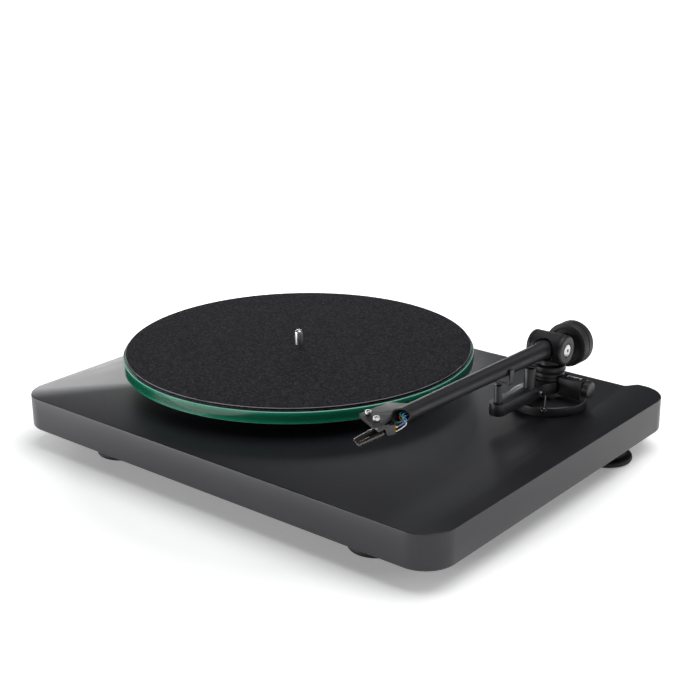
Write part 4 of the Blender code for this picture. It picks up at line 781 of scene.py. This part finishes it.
# ================================================================ tonearm base
def build_arm_base():
    """The round base, its column and the grooved ring above the bracket."""
    place = upright(PIVOT.x, PIVOT.y)
    low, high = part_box("arm_base")
    wide = (high.x - low.x) / 2
    floor = PLINTH_HIGH.z + 0.3 * MM
    top = floor + 8 * MM
    column = 11 * MM
    bore = 7 * MM
    piece("arm_pedestal", lathe([
        (bore, high.z), (column - 0.3 * MM, high.z), (column, high.z - 0.3 * MM),
        (column, top + 1.4 * MM), (column + 0.4 * MM, top + 0.5 * MM), (column + 1.3 * MM, top),
        (wide - 1.3 * MM, top), (wide - 0.5 * MM, top - 0.3 * MM), (wide - 0.1 * MM, top - 1 * MM),
        (wide, top - 1.6 * MM), (wide, floor + 1.7 * MM), (wide - 0.2 * MM, floor + 1.5 * MM),
        (wide - 0.6 * MM, floor + 1.4 * MM), (wide - 0.6 * MM, floor), (11.6 * MM, floor),
        (11.6 * MM, low.z), (bore, low.z)], 128, True),
        place, "plastic", "chassis", ["arm_base"], 40)
    ring_low, ring_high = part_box("column_ring")
    radius = (ring_high.x - ring_low.x) / 2
    groove = ring_low.z + 2.8 * MM
    piece("grooved_ring", lathe([
        (bore, ring_high.z), (radius - 0.9 * MM, ring_high.z),
        (radius - 0.3 * MM, ring_high.z - 0.3 * MM), (radius, ring_high.z - 0.9 * MM),
        (radius, groove + 0.5 * MM), (radius - 0.9 * MM, groove + 0.3 * MM),
        (radius - 0.9 * MM, groove - 0.3 * MM), (radius, groove - 0.5 * MM),
        (radius, ring_low.z + 0.3 * MM), (radius - 0.3 * MM, ring_low.z), (bore, ring_low.z)],
        96, True), place, "anodised", "chassis", ["column_ring"], 40)
    dress("steel", "arm_lock_nut", "bearing_tube", "lower_race", "upper_race")


BAR_HALF = 6.5 * MM
LIFT = 28 * MM
BRACKET_LOW = 59.5 * MM
BRACKET_TOP = 69 * MM


def build_bracket():
    """The bracket that carries the rest, the lift and the cue lever."""
    hub = 11.7 * MM
    points = arc((REST, 0), BAR_HALF, -90, 90, 24)
    points += [(24 * MM, BAR_HALF), (20 * MM, BAR_HALF + 0.2 * MM), (15 * MM, BAR_HALF + 1.2 * MM),
               (8 * MM, hub), (-6 * MM, hub)]
    points += arc((-1 * MM, 0), 12.7 * MM, 113, 247, 24)
    points += [(-6 * MM, -hub), (8 * MM, -hub), (15 * MM, -BAR_HALF - 1.2 * MM),
               (20 * MM, -BAR_HALF - 0.2 * MM), (24 * MM, -BAR_HALF)]
    bar = extrude(points, BRACKET_LOW, BRACKET_TOP, ((BRACKET_TOP, 0.7 * MM, 3),
                                                   (BRACKET_LOW, 0.4 * MM, 2)))
    pillar_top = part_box("arm_bracket")[1].z
    radius = 4.8 * MM
    foot = 1.2 * MM
    flare = [(radius + foot - foot * math.sin(math.radians(a)),
              BRACKET_TOP - 0.2 * MM + foot * (1 - math.cos(math.radians(a))))
             for a in range(90, -1, -15)]
    pillar = lathe([
        (0, pillar_top), (2.1 * MM, pillar_top), (radius - 0.7 * MM, pillar_top),
        (radius - 0.2 * MM, pillar_top - 0.2 * MM), (radius, pillar_top - 0.7 * MM)]
        + flare + [(radius + foot, BRACKET_TOP - 3 * MM), (0, BRACKET_TOP - 3 * MM)], 64)
    bar = boolean(bar, [moved(pillar, upright(LIFT, 0))], "UNION")
    bore = drum(7 * MM, BRACKET_LOW - 5 * MM, BRACKET_TOP + 5 * MM)
    lift_bore = moved(drum(1.6 * MM, BRACKET_TOP + 3 * MM, pillar_top + 5 * MM, steps=32),
                      upright(LIFT, 0))
    cue = upright(CUE.x, 0, CUE.z) @ ALONG_Y
    cue_bore = moved(drum(1.4 * MM, -4 * MM, 20 * MM, steps=32), cue)
    piece("moulded_bracket", boolean(bar, [bore, lift_bore, cue_bore]), BRACKET, "plastic",
          "chassis", ["arm_bracket"], 40)


def build_rest():
    """The post with its slim neck, and the open hook that the parked arm lies in."""
    low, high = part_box("rest_post")
    neck_top = high.z
    post = 3.15 * MM
    shoulder = neck_top - 2.2 * MM
    piece("turned_rest_post", lathe([
        (0, neck_top), (1.5 * MM, neck_top), (1.5 * MM, shoulder + 0.5 * MM),
        (1.9 * MM, shoulder + 0.1 * MM), (post - 0.6 * MM, shoulder),
        (post - 0.15 * MM, shoulder - 0.2 * MM), (post, shoulder - 0.7 * MM),
        (post, low.z + 1.2 * MM), (post + 0.15 * MM, low.z + 0.6 * MM),
        (post + 0.7 * MM, low.z), (0, low.z)], 64),
        BRACKET @ upright(REST, 0), "plastic", "chassis", ["rest_post"], 40)
    saddle = 87.1 * MM
    under = saddle - 1.3 * MM
    outer = ARM_OVER_REST.y + 8.75 * MM
    inner = ARM_OVER_REST.y + 7.4 * MM
    start = ARM_OVER_REST.y - 6 * MM
    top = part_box("rest_clip")[1].z
    outline = [(start, saddle)] + arc((start - 0.1 * MM, saddle - 0.65 * MM), 0.65 * MM, 90, 270, 8)
    outline += arc((outer - 2.4 * MM, under + 2.4 * MM), 2.4 * MM, 270, 360, 10)
    outline += arc((outer - 0.7 * MM, top - 0.7 * MM), 0.7 * MM, 0, 180, 10)
    outline += arc((inner - 1.6 * MM, saddle + 1.6 * MM), 1.6 * MM, 360, 270, 8)
    half = 2.5 * MM
    hook = extrude(outline, -half, half, ((half, 0.35 * MM, 2), (-half, 0.35 * MM, 2)))
    turn = Matrix(((0, 0, 1, 0), (1, 0, 0, 0), (0, 1, 0, 0), (0, 0, 0, 1)))
    piece("rest_hook", hook, BRACKET @ upright(REST, 0) @ turn, "plastic", "chassis",
          ["rest_clip"], 40)


def build_lift():
    """The curved lift platform on its stem, and the wire lever with its ball."""
    low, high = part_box("lift_platform")
    top = high.z
    under = top - 1.2 * MM
    half = 1.5 * MM
    outline = arc((0, 0), LIFT + half, -58, 12, 48) + arc((0, 0), LIFT - half, 12, -58, 48)
    bar = extrude(outline, under, top, ((top, 0.35 * MM, 2), (under, 0.35 * MM, 2)))
    stem = moved(drum(1.3 * MM, low.z, under + 0.6 * MM, 0.2 * MM, 40), upright(LIFT, 0))
    piece("lift_bar", boolean(bar, [stem], "UNION"), BRACKET, "matt_black", "lift_platform",
          ["lift_platform"], 40)
    axis = BRACKET @ upright(CUE.x, 0, CUE.z)
    ball = Vector((9.5, 17.5, -9)) * MM
    corners = [(0, -2.5, 0), (0, 3, 0), (0, 9, 0), (1.5, 13.2, -0.6), (4, 15, -3)]
    path = smooth_path([Vector(c) * MM for c in corners] + [ball], 10)
    piece("lever_wire", swept(path, 1.1 * MM, resolution=4), axis, "black_steel", "cue_lever",
          ["cue_lever"], 60)
    collar = moved(drum(1.9 * MM, 7 * MM, 9.4 * MM, 0.3 * MM, 40), ALONG_Y)
    piece("lever_collar", collar, axis, "steel", "cue_lever")
    knob = bmesh.new()
    bmesh.ops.create_uvsphere(knob, u_segments=40, v_segments=24, radius=2.9 * MM)
    piece("lever_ball", knob, axis @ Matrix.Translation(ball), "gloss_plastic", "cue_lever")


def build_bias():
    """The anti-skating block with its scale, and the fluted knob that slides out of it."""
    low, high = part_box("bias_housing")
    knob_low, knob_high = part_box("bias_knob")
    centre = (knob_low + knob_high) / 2
    block = cuboid(low, high, 0.6 * MM, 3)
    bore = moved(drum(1.9 * MM, -16 * MM, 5 * MM, steps=32),
                 upright(high.x, centre.y, centre.z) @ ALONG_X)
    piece("bias_block", boolean(block, [bore]), Matrix(), "plastic", "chassis",
          ["bias_housing"])
    ticks = 9
    start = low.x + 4.6 * MM
    pitch = (high.x - 4.2 * MM - start) / (ticks - 1)
    rear = high.y - 2.4 * MM
    for i in range(ticks):
        x = start + pitch * i
        length = (3.2 if i % 4 == 0 else 1.8) * MM
        mark = cuboid((x - 0.25 * MM, rear - length, high.z - 0.02 * MM),
                      (x + 0.25 * MM, rear, high.z + 0.05 * MM))
        piece(f"bias_tick_{i + 1}", mark, Matrix(), "marking", "chassis")
    radius = (knob_high.y - knob_low.y) / 2
    length = 6 * MM
    flutes = sizes().knob_flutes
    outline = []
    for i in range(flutes * 4):
        reach = radius - (0.35 * MM if i % 4 >= 2 else 0)
        angle = TAU * i / (flutes * 4)
        outline.append((reach * math.cos(angle), reach * math.sin(angle)))
    grip = extrude(outline, 0.8 * MM, length - 0.8 * MM)
    skirt = radius - 0.3 * MM
    core = lathe([(0, length), (skirt - 1.2 * MM, length), (skirt - 0.3 * MM, length - 0.4 * MM),
                  (skirt, length - 1.2 * MM), (skirt, 1 * MM), (skirt - 0.8 * MM, 0.3 * MM),
                  (1.6 * MM, 0.3 * MM), (1.6 * MM, -15 * MM), (0, -15 * MM)], 112)
    place = upright(high.x, centre.y, centre.z) @ ALONG_X
    piece("bias_dial", boolean(core, [grip], "UNION"), place, "plastic", "bias_knob",
          ["bias_knob"])


# ================================================================ tonearm
BARREL_RADIUS = 12 * MM
BARREL_HALF = 15.6 * MM


def socket_head(radius, bottom, top, socket, depth, steps=48):
    """A round screw head with a hexagon socket."""
    head = drum(radius, bottom, top, 0.3 * MM, steps)
    return boolean(head, [drum_sided(socket, top - depth, top + 2 * MM, 6)])


def drum_sided(radius, bottom, top, sides):
    """A prism with this many sides."""
    bm = bmesh.new()
    bmesh.ops.create_cone(bm, cap_ends=True, segments=sides, radius1=radius, radius2=radius,
                          depth=top - bottom)
    bmesh.ops.translate(bm, vec=(0, 0, (top + bottom) / 2), verts=bm.verts)
    return bm


def build_yoke():
    """The bearing barrel on its flange, with the two pivot screws."""
    radius = BARREL_RADIUS
    half = BARREL_HALF
    edge = 2.2 * MM
    corner = [(radius - edge + edge * math.sin(a), half - edge + edge * math.cos(a))
              for a in (math.radians(d) for d in range(0, 91, 15))]
    groove = [(radius, half - 3.6 * MM), (radius - 0.4 * MM, half - 3.8 * MM),
              (radius - 0.4 * MM, half - 4.2 * MM), (radius, half - 4.4 * MM)]
    face = [(0, half - 0.5 * MM), (5.4 * MM, half - 0.5 * MM), (5.8 * MM, half)]
    side = face + corner + groove
    barrel = lathe(side + [(r, -h) for r, h in reversed(side)], 96)
    moved(barrel, ALONG_Y)
    flange_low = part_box("arm_yoke")[0].z - PIVOT.z
    flange_top = flange_low + 5 * MM
    wide = 13.2 * MM
    flange = lathe([
        (0, -6 * MM), (8.5 * MM, -6 * MM), (8.5 * MM, flange_top + 1 * MM),
        (8.8 * MM, flange_top + 0.3 * MM), (9.5 * MM, flange_top), (wide - 1 * MM, flange_top),
        (wide - 0.3 * MM, flange_top - 0.3 * MM), (wide, flange_top - 1 * MM),
        (wide, flange_low + 0.6 * MM), (wide - 0.2 * MM, flange_low + 0.2 * MM),
        (wide - 0.6 * MM, flange_low), (0, flange_low)], 96)
    yoke = boolean(barrel, [flange], "UNION")
    hole = moved(drum(9.4 * MM, -30 * MM, 30 * MM, steps=96), ALONG_X)
    screws = moved(drum(3.8 * MM, -30 * MM, 30 * MM, steps=64), ALONG_Y)
    shaft = drum(3.4 * MM, flange_low - 5 * MM, -10.8 * MM)
    piece("bearing_barrel", boolean(yoke, [hole, screws, shaft]), YOKE, "anodised",
          "bearing_yoke", ["arm_yoke"], 30)
    tip = 7.35 * MM
    for node, turn in (("pivot_screw_inner", ALONG_Y.inverted()), ("pivot_screw_outer", ALONG_Y)):
        screw = lathe([
            (0, half + 0.4 * MM), (4.2 * MM, half + 0.4 * MM), (5 * MM, half),
            (5 * MM, half - 0.4 * MM), (3.5 * MM, half - 0.4 * MM), (3.5 * MM, tip + 2.5 * MM),
            (0, tip)], 64)
        screw = boolean(screw, [drum_sided(1.5 * MM, half - 2.6 * MM, half + 1 * MM, 6)])
        piece(node + "_head", screw, YOKE @ turn, "steel", "bearing_yoke", [node])
    dress("steel", "yaw_shaft")


HEAD_TOP = 3.5 * MM
HEAD_BOTTOM = 0.7 * MM
TUBE_END = 210 * MM
MOUTH = 203 * MM               # where the slanted mouth crosses the tube's axis
MOUTH_SLANT = math.radians(-48)
CARTRIDGE_REAR = -15 * MM
SCREW_SPACING = 12.7 * MM      # the two cartridge screws
SCREW_PLACES = {"cartridge_screw_inner": -SCREW_SPACING / 2,
                "cartridge_screw_outer": SCREW_SPACING / 2}


def headshell_outline():
    """The headshell plate from above, in the arm's own frame, with rounded corners."""
    corners = [(187.5, 0, 0.3), (187.5, -5, 0.5), (194, -16.5, 1.6), (225.5, -18.7, 1.2),
               (236, 0.2, 1.2), (227, 3.6, 1.5), (217, 1.2, 2.0), (207, -3.4, 1.2),
               (200, -1, 0.8)]
    return rounded_corners([(Vector((x, y)) * MM, r * MM) for x, y, r in corners])


def rounded_corners(corners, steps=6):
    """A closed outline whose corners, each a point and a radius, are rounded."""
    outline = []
    count = len(corners)
    for i, (corner, radius) in enumerate(corners):
        before = (corners[i - 1][0] - corner).normalized()
        after = (corners[(i + 1) % count][0] - corner).normalized()
        half = before.angle(after) / 2
        reach = radius / math.tan(half)
        start = corner + before * reach
        end = corner + after * reach
        for k in range(steps + 1):
            t = k / steps
            outline.append(tuple(start * (1 - t) ** 2 + corner * 2 * t * (1 - t) + end * t ** 2))
    return outline


def build_arm():
    """The tapered tube with its angled headshell, and the rod behind it."""
    pivot_radius = 6.95 * MM
    head_radius = 5.6 * MM
    collar = 7.8 * MM
    tube = lathe([
        (0, TUBE_END), (head_radius, TUBE_END), (head_radius, 190 * MM),
        (pivot_radius - 0.1 * MM, 14.8 * MM), (pivot_radius + 0.1 * MM, 14.3 * MM),
        (collar - 0.2 * MM, 14.1 * MM), (collar, 13.8 * MM), (collar, 9.2 * MM),
        (collar - 0.2 * MM, 8.9 * MM), (pivot_radius, 8.6 * MM), (pivot_radius, -13.7 * MM),
        (pivot_radius - 0.3 * MM, -14 * MM), (0, -14 * MM)], 96)
    moved(tube, ALONG_X)
    reach = 40 * MM
    mouth = cuboid((-reach, 0, -reach), (reach, reach, reach))
    moved(mouth, upright(MOUTH, 0) @ Matrix.Rotation(MOUTH_SLANT, 4, "Z"))
    tube = boolean(tube, [mouth])
    plate = extrude(headshell_outline(), HEAD_BOTTOM, HEAD_TOP, ((HEAD_TOP, 0.5 * MM, 3),
                                                               (HEAD_BOTTOM, 0.4 * MM, 2)))
    arm = boolean(tube, [plate], "UNION")
    bore = moved(drum(4.4 * MM, 182 * MM, TUBE_END, steps=64), ALONG_X)
    into_arm = ARM.inverted() @ HEAD
    holes = [moved(drum(1.5 * MM, -10 * MM, 10 * MM, steps=32), into_arm @ upright(0, y))
             for y in SCREW_PLACES.values()]
    piece("arm_with_headshell", boolean(arm, [bore] + holes), ARM, "anodised", "tonearm",
          ["arm_tube"], 30)
    rod = moved(drum(5 * MM, -46 * MM, -14.3 * MM, 0.4 * MM), ALONG_X)
    piece("rear_rod", rod, ARM, "dark_steel", "tonearm", ["counterweight_rod"])


def build_counterweight():
    """The weight: a stepped front, a groove, a matt rear band and its set screw."""
    front = -25 * MM
    rear = -40 * MM
    radius = 18 * MM
    drop = -4.75 * MM
    profile = [
        (0, front - 1.2 * MM), (13.6 * MM, front - 1.2 * MM), (14 * MM, front - 0.9 * MM),
        (14.2 * MM, front), (16.9 * MM, front), (17.7 * MM, front - 0.3 * MM),
        (radius, front - 1 * MM), (radius, front - 7.4 * MM), (radius - 0.7 * MM, front - 7.7 * MM),
        (radius - 0.7 * MM, front - 8.3 * MM), (radius, front - 8.6 * MM), (radius, rear + 1 * MM),
        (17.7 * MM, rear + 0.3 * MM), (16.9 * MM, rear), (13 * MM, rear),
        (12.6 * MM, rear + 0.5 * MM), (0, rear + 0.5 * MM)]
    weight = moved(lathe(profile, 144), Matrix.Translation((0, 0, drop)) @ ALONG_X)
    bore = moved(drum(5.3 * MM, rear - 5 * MM, front + 5 * MM), ALONG_X)
    middle = (front + rear) / 2
    screw_hole = moved(drum(1.8 * MM, 3 * MM, 20 * MM, steps=32), upright(middle, 0))
    piece("hung_weight", boolean(weight, [bore, screw_hole]), ARM, "matt_black", "counterweight",
          ["counterweight"], 30)
    screw = socket_head(1.5 * MM, 5.4 * MM, 13.1 * MM, 0.7 * MM, 1.2 * MM, 32)
    piece("weight_set_screw", screw, ARM @ upright(middle, 0), "brass", "counterweight",
          ["counterweight_screw"])


def build_cartridge():
    """Cartridge body, its screws and pins, stylus, and the smoky guard over it."""
    top = HEAD_BOTTOM - 0.3 * MM
    wing = cuboid((-9 * MM, -8.2 * MM, top - 1.9 * MM), (2.8 * MM, 8.2 * MM, top), 0.3 * MM, 2)
    generator = cuboid((CARTRIDGE_REAR, -6 * MM, -9.2 * MM), (-2 * MM, 6 * MM, top - 1.4 * MM),
                       0.5 * MM, 2)
    body = boolean(wing, [generator], "UNION")
    into_head = HEAD.inverted() @ STYLUS
    room = moved(cuboid((-0.3 * MM, -12 * MM, -14 * MM), (27 * MM, 12 * MM, 3 * MM)), into_head)
    holes = [moved(drum(1.5 * MM, -9 * MM, 5 * MM, steps=32), upright(0, y))
             for y in SCREW_PLACES.values()]
    piece("cartridge_shell", boolean(body, [room] + holes), HEAD, "gloss_plastic", "tonearm",
          ["cartridge_body"])
    low = HEAD_TOP + 0.3 * MM
    for node, y in SCREW_PLACES.items():
        head = socket_head(2.5 * MM, low, low + 2.6 * MM, 1.2 * MM, 1.4 * MM)
        shank = drum(1.2 * MM, top - 2.5 * MM, low + 0.5 * MM, 0.1 * MM, 32)
        piece(node + "_cap", boolean(head, [shank], "UNION"), HEAD @ upright(0, y),
              "steel", "tonearm", [node])
    build_stylus()


def build_stylus():
    """The stylus holder with its cantilever, and the guard pushed over it."""
    length = 21 * MM
    far_end = 0.72                 # the guard's far end as a share of its near end
    half_y = 6 * MM
    half_z = 2.7 * MM
    wall = 0.8 * MM
    shell = cuboid((0, -half_y, -half_z), (length, half_y, half_z), 2.2 * MM, 5)
    narrow(shell, length, far_end)
    hollow = cuboid((-5 * MM, -half_y + wall, -half_z + wall),
                    (length - wall, half_y - wall, half_z - wall), 1.3 * MM, 3)
    narrow(hollow, length, far_end)
    piece("smoky_guard", boolean(shell, [hollow]), STYLUS, "smoke", "stylus_guard",
          ["stylus_guard"], 30)
    high = half_z - wall - 0.6 * MM
    outline = rounded_corners([(Vector(c) * MM, r * MM) for c, r in (
        ((0.2, -4.5), 0.2), ((8, -3.9), 1.0), ((15, -1.6), 0.6), ((15, 1.6), 0.6),
        ((8, 3.9), 1.0), ((0.2, 4.5), 0.2))])
    holder = extrude(outline, -high, high, ((high, 0.25 * MM, 2), (-high, 0.25 * MM, 2)))
    piece("stylus_grip", holder, STYLUS, "gloss_plastic", "tonearm",
          ["stylus_holder"])
    level = -high + 0.9 * MM
    cantilever = moved(drum(0.33 * MM, 13 * MM, 18.6 * MM, 0.05 * MM, 20),
                       upright(0, 0, level) @ ALONG_X)
    piece("cantilever", cantilever, STYLUS, "steel", "tonearm")
    mark = cuboid((9.4 * MM, -0.6 * MM, high), (12.6 * MM, 0.6 * MM, high + 0.12 * MM), 0.05 * MM)
    piece("stylus_mark", mark, STYLUS, "red_mark", "tonearm")
    spot = cuboid((16.2 * MM, -0.5 * MM, level + 0.2 * MM), (17.2 * MM, 0.5 * MM, level + 0.5 * MM),
                  0.05 * MM)
    piece("stylus_spot", spot, STYLUS, "white", "tonearm")


def narrow(bm, length, share):
    """Draw a shape in towards its far end along X."""
    for vert in bm.verts:
        factor = 1 - (1 - share) * max(0.0, min(1.0, vert.co.x / length))
        vert.co.y *= factor
        vert.co.z *= 1 - (1 - factor) * 0.6


# each lead's colour, its place in the tube's mouth and its pin, as sideways and up in mm
LEADS = (
    ("red", (-1.3, -0.9), (-3.2, -7.6)),
    ("green", (-1.0, 1.3), (-3.0, -4.6)),
    ("blue", (1.4, 1.2), (3.2, -4.6)),
    ("white", (1.3, -1.2), (3.0, -7.6)),
)
LEAD_RADIUS = 0.4 * MM


def build_leads():
    """Four fine leads from the arm tube's mouth to pins on the back of the cartridge."""
    to_arm = ARM.inverted() @ HEAD
    rear = CARTRIDGE_REAR
    for name, (y, z), (pin_y, pin_z) in LEADS:
        start = Vector((190, y, z)) * MM
        mouth = Vector((202.5, y, z)) * MM
        pin = to_arm @ Vector((rear - 0.3 * MM, pin_y * MM, pin_z * MM))
        behind = to_arm @ Vector((rear - 2.2 * MM, pin_y * MM, pin_z * MM))
        bow = Vector((207, 6.3 + y, -1.8 + z)) * MM
        path = smooth_path([start, mouth, bow, behind, pin], 10)
        piece(f"{name}_lead", swept(path, LEAD_RADIUS), ARM, name, "tonearm",
              [f"lead_{name}"], 60)
        sleeve = moved(drum(0.62 * MM, rear - 2.6 * MM, rear - 0.05 * MM, 0.1 * MM, 24), ALONG_X)
        piece(f"{name}_clip", sleeve, HEAD @ upright(0, pin_y * MM, pin_z * MM), "gold", "tonearm")


# ================================================================ underside and rear
def build_underside():
    """Cover, board, switch and the sockets along the rear edge."""
    dress("plastic", "bottom_cover", "switch_housing", "terminal_plate", "power_inlet")
    dress("gloss_plastic", "switch_rocker", "phase_capacitor")
    dress("board", "motor_board")
    dress("steel", "cover_screw_1", "cover_screw_2", "cover_screw_3", "cover_screw_4",
          "terminal_screw_1", "terminal_screw_2")
    dress("gold", "phono_socket_left", "phono_socket_right")


# ================================================================ stage
CAMERA_PLACE = (666.7 * MM, -796.5 * MM, 454.1 * MM)
CAMERA_AZIMUTH = math.radians(39.597)
CAMERA_ELEVATION = math.radians(19.648)
CAMERA_ROLL = math.radians(-0.633)
CAMERA_LENS = 69.27
FLOOR_HALF = 6.0
FLOOR_DROP = 0.2 * MM          # keeps the floor just clear of the feet
AMBIENT = 0.08


def add_camera():
    """A camera that looks down on the deck from the front, over the tonearm's corner."""
    camera = bpy.data.objects.new("camera", bpy.data.cameras.new("camera"))
    bpy.context.scene.collection.objects.link(camera)
    camera.data.lens = CAMERA_LENS
    camera.data.sensor_width = 36
    camera.data.clip_start = 0.01
    camera.data.clip_end = 50
    back = Vector((math.sin(CAMERA_AZIMUTH) * math.cos(CAMERA_ELEVATION),
                   -math.cos(CAMERA_AZIMUTH) * math.cos(CAMERA_ELEVATION),
                   math.sin(CAMERA_ELEVATION)))
    right = Vector((math.cos(CAMERA_AZIMUTH), math.sin(CAMERA_AZIMUTH), 0))
    up = back.cross(right)
    turned_right = right * math.cos(CAMERA_ROLL) + up * math.sin(CAMERA_ROLL)
    turned_up = up * math.cos(CAMERA_ROLL) - right * math.sin(CAMERA_ROLL)
    matrix = Matrix((turned_right, turned_up, back)).transposed().to_4x4()
    matrix.translation = Vector(CAMERA_PLACE)
    camera.matrix_world = matrix
    bpy.context.scene.camera = camera


def add_light(name, place, aim, size, power):
    """A soft rectangular light aimed at a point."""
    light = bpy.data.lights.new(name, "AREA")
    light.shape = "RECTANGLE"
    light.size, light.size_y = size
    light.energy = power
    obj = bpy.data.objects.new(name, light)
    bpy.context.scene.collection.objects.link(obj)
    turn = (Vector(aim) - Vector(place)).to_track_quat("-Z", "Y").to_matrix().to_4x4()
    obj.matrix_world = Matrix.Translation(place) @ turn


def build_stage():
    """A pale floor, soft lights and the camera."""
    scene = bpy.context.scene
    scene.view_settings.view_transform = "Standard"
    world = bpy.data.worlds.new("studio")
    scene.world = world
    world.use_nodes = True
    background = world.node_tree.nodes["Background"]
    background.inputs["Color"].default_value = (0.9, 0.95, 1.0, 1)
    background.inputs["Strength"].default_value = AMBIENT
    bm = bmesh.new()
    bmesh.ops.create_grid(bm, x_segments=1, y_segments=1, size=FLOOR_HALF)
    bmesh.ops.translate(bm, vec=(0, 0, -FLOOR_DROP), verts=bm.verts)
    mesh = bpy.data.meshes.new("floor")
    bm.to_mesh(mesh)
    bm.free()
    floor = bpy.data.objects.new("floor", mesh)
    scene.collection.objects.link(floor)
    material, tree, shader, place = start_material(
        "white_paper_sweep", (0.92, 0.92, 0.92), 0.9, Specular_IOR_Level=0.0,
        Emission_Color=(1, 1, 1, 1))
    away = add_node(tree, "ShaderNodeVectorMath", {0: place}, operation="LENGTH")
    glow = spread(tree, away.outputs["Value"], 0.24, 1.1, 0.22, 0.45)
    tree.links.new(glow, shader.inputs["Emission Strength"])
    mesh.materials.append(material)
    add_light("overhead", (0.4, 0.15, 1.5), (0, 0, 0), (1.5, 1.5), 22)
    add_light("rear_left", (-2.1, 1.7, 0.42), (0, 0, 0.05), (1.8, 0.6), 20)
    add_light("rear_high", (-1.1, 1.35, 1.15), (0, 0, 0.05), (0.7, 0.35), 0.8)
    add_light("front_left", (-1.3, -1.6, 0.15), (0, -0.1, 0.05), (1.6, 0.26), 26)
    add_light("rear_right", (1.5, 1.3, 0.15), (0.15, 0, 0.05), (1.3, 0.26), 2.2)
    add_camera()


# ================================================================ operators and panel
STEPS = (
    ("materials", "Materials", "Make every finish", make_materials),
    ("plinth", "Plinth", "Build the lacquered plinth", build_plinth),
    ("feet", "Feet", "Build the rubber feet", build_feet),
    ("platter", "Platter", "Build the spindle, sub-platter, glass and mat", build_platter),
    ("drive", "Drive", "Build the belt, pulley and bearing", build_drive),
    ("arm_base", "Arm Base", "Build the arm's round base and ring", build_arm_base),
    ("bracket", "Bracket", "Build the bracket", build_bracket),
    ("rest", "Arm Rest", "Build the rest post and hook", build_rest),
    ("lift", "Arm Lift", "Build the lift platform and lever", build_lift),
    ("bias", "Anti-skating", "Build the anti-skating block and knob", build_bias),
    ("yoke", "Bearing Yoke", "Build the bearing barrel and screws", build_yoke),
    ("arm", "Tonearm", "Build the tube and headshell", build_arm),
    ("counterweight", "Counterweight", "Build the counterweight", build_counterweight),
    ("cartridge", "Cartridge", "Build the cartridge, stylus and guard", build_cartridge),
    ("leads", "Leads", "Build the four fine leads", build_leads),
    ("underside", "Underside", "Finish the underside and rear sockets", build_underside),
    ("stage", "Stage", "Build the floor, lights and camera", build_stage),
)


def make_operator(key, label, description, action):
    """An operator class for one step of the build."""
    def execute(self, context):
        action()
        return {"FINISHED"}

    return type(f"RECORD_PLAYER_OT_{key}", (bpy.types.Operator,), {
        "__doc__": description, "bl_idname": f"record_player.{key}", "bl_label": label,
        "bl_options": {"REGISTER", "UNDO"}, "execute": execute})


OPERATORS = [make_operator(*step) for step in STEPS]


class RECORD_PLAYER_PT_panel(bpy.types.Panel):
    """Buttons for each step, with the settings below."""

    bl_label = "Record Player"
    bl_idname = "RECORD_PLAYER_PT_panel"
    bl_space_type = "VIEW_3D"
    bl_region_type = "UI"
    bl_category = "Record Player"

    def draw(self, context):
        """List the operators and the settings."""
        for operator in OPERATORS:
            self.layout.operator(operator.bl_idname)
        for group in (context.scene.record_player_sizes, context.scene.record_player_colours):
            for name in group.__annotations__:
                self.layout.prop(group, name)


CLASSES = [RecordPlayerColours, RecordPlayerSizes, *OPERATORS, RECORD_PLAYER_PT_panel]


def register():
    """Register the classes and the scene's settings."""
    for cls in CLASSES:
        bpy.utils.register_class(cls)
    bpy.types.Scene.record_player_colours = bpy.props.PointerProperty(type=RecordPlayerColours)
    bpy.types.Scene.record_player_sizes = bpy.props.PointerProperty(type=RecordPlayerSizes)


def unregister():
    """Remove the settings and the classes."""
    del bpy.types.Scene.record_player_sizes
    del bpy.types.Scene.record_player_colours
    for cls in reversed(CLASSES):
        bpy.utils.unregister_class(cls)


def main():
    """Register and build every piece."""
    register()
    for key, *_ in STEPS:
        getattr(bpy.ops.record_player, key)()


if __name__ == "__main__":
    main()
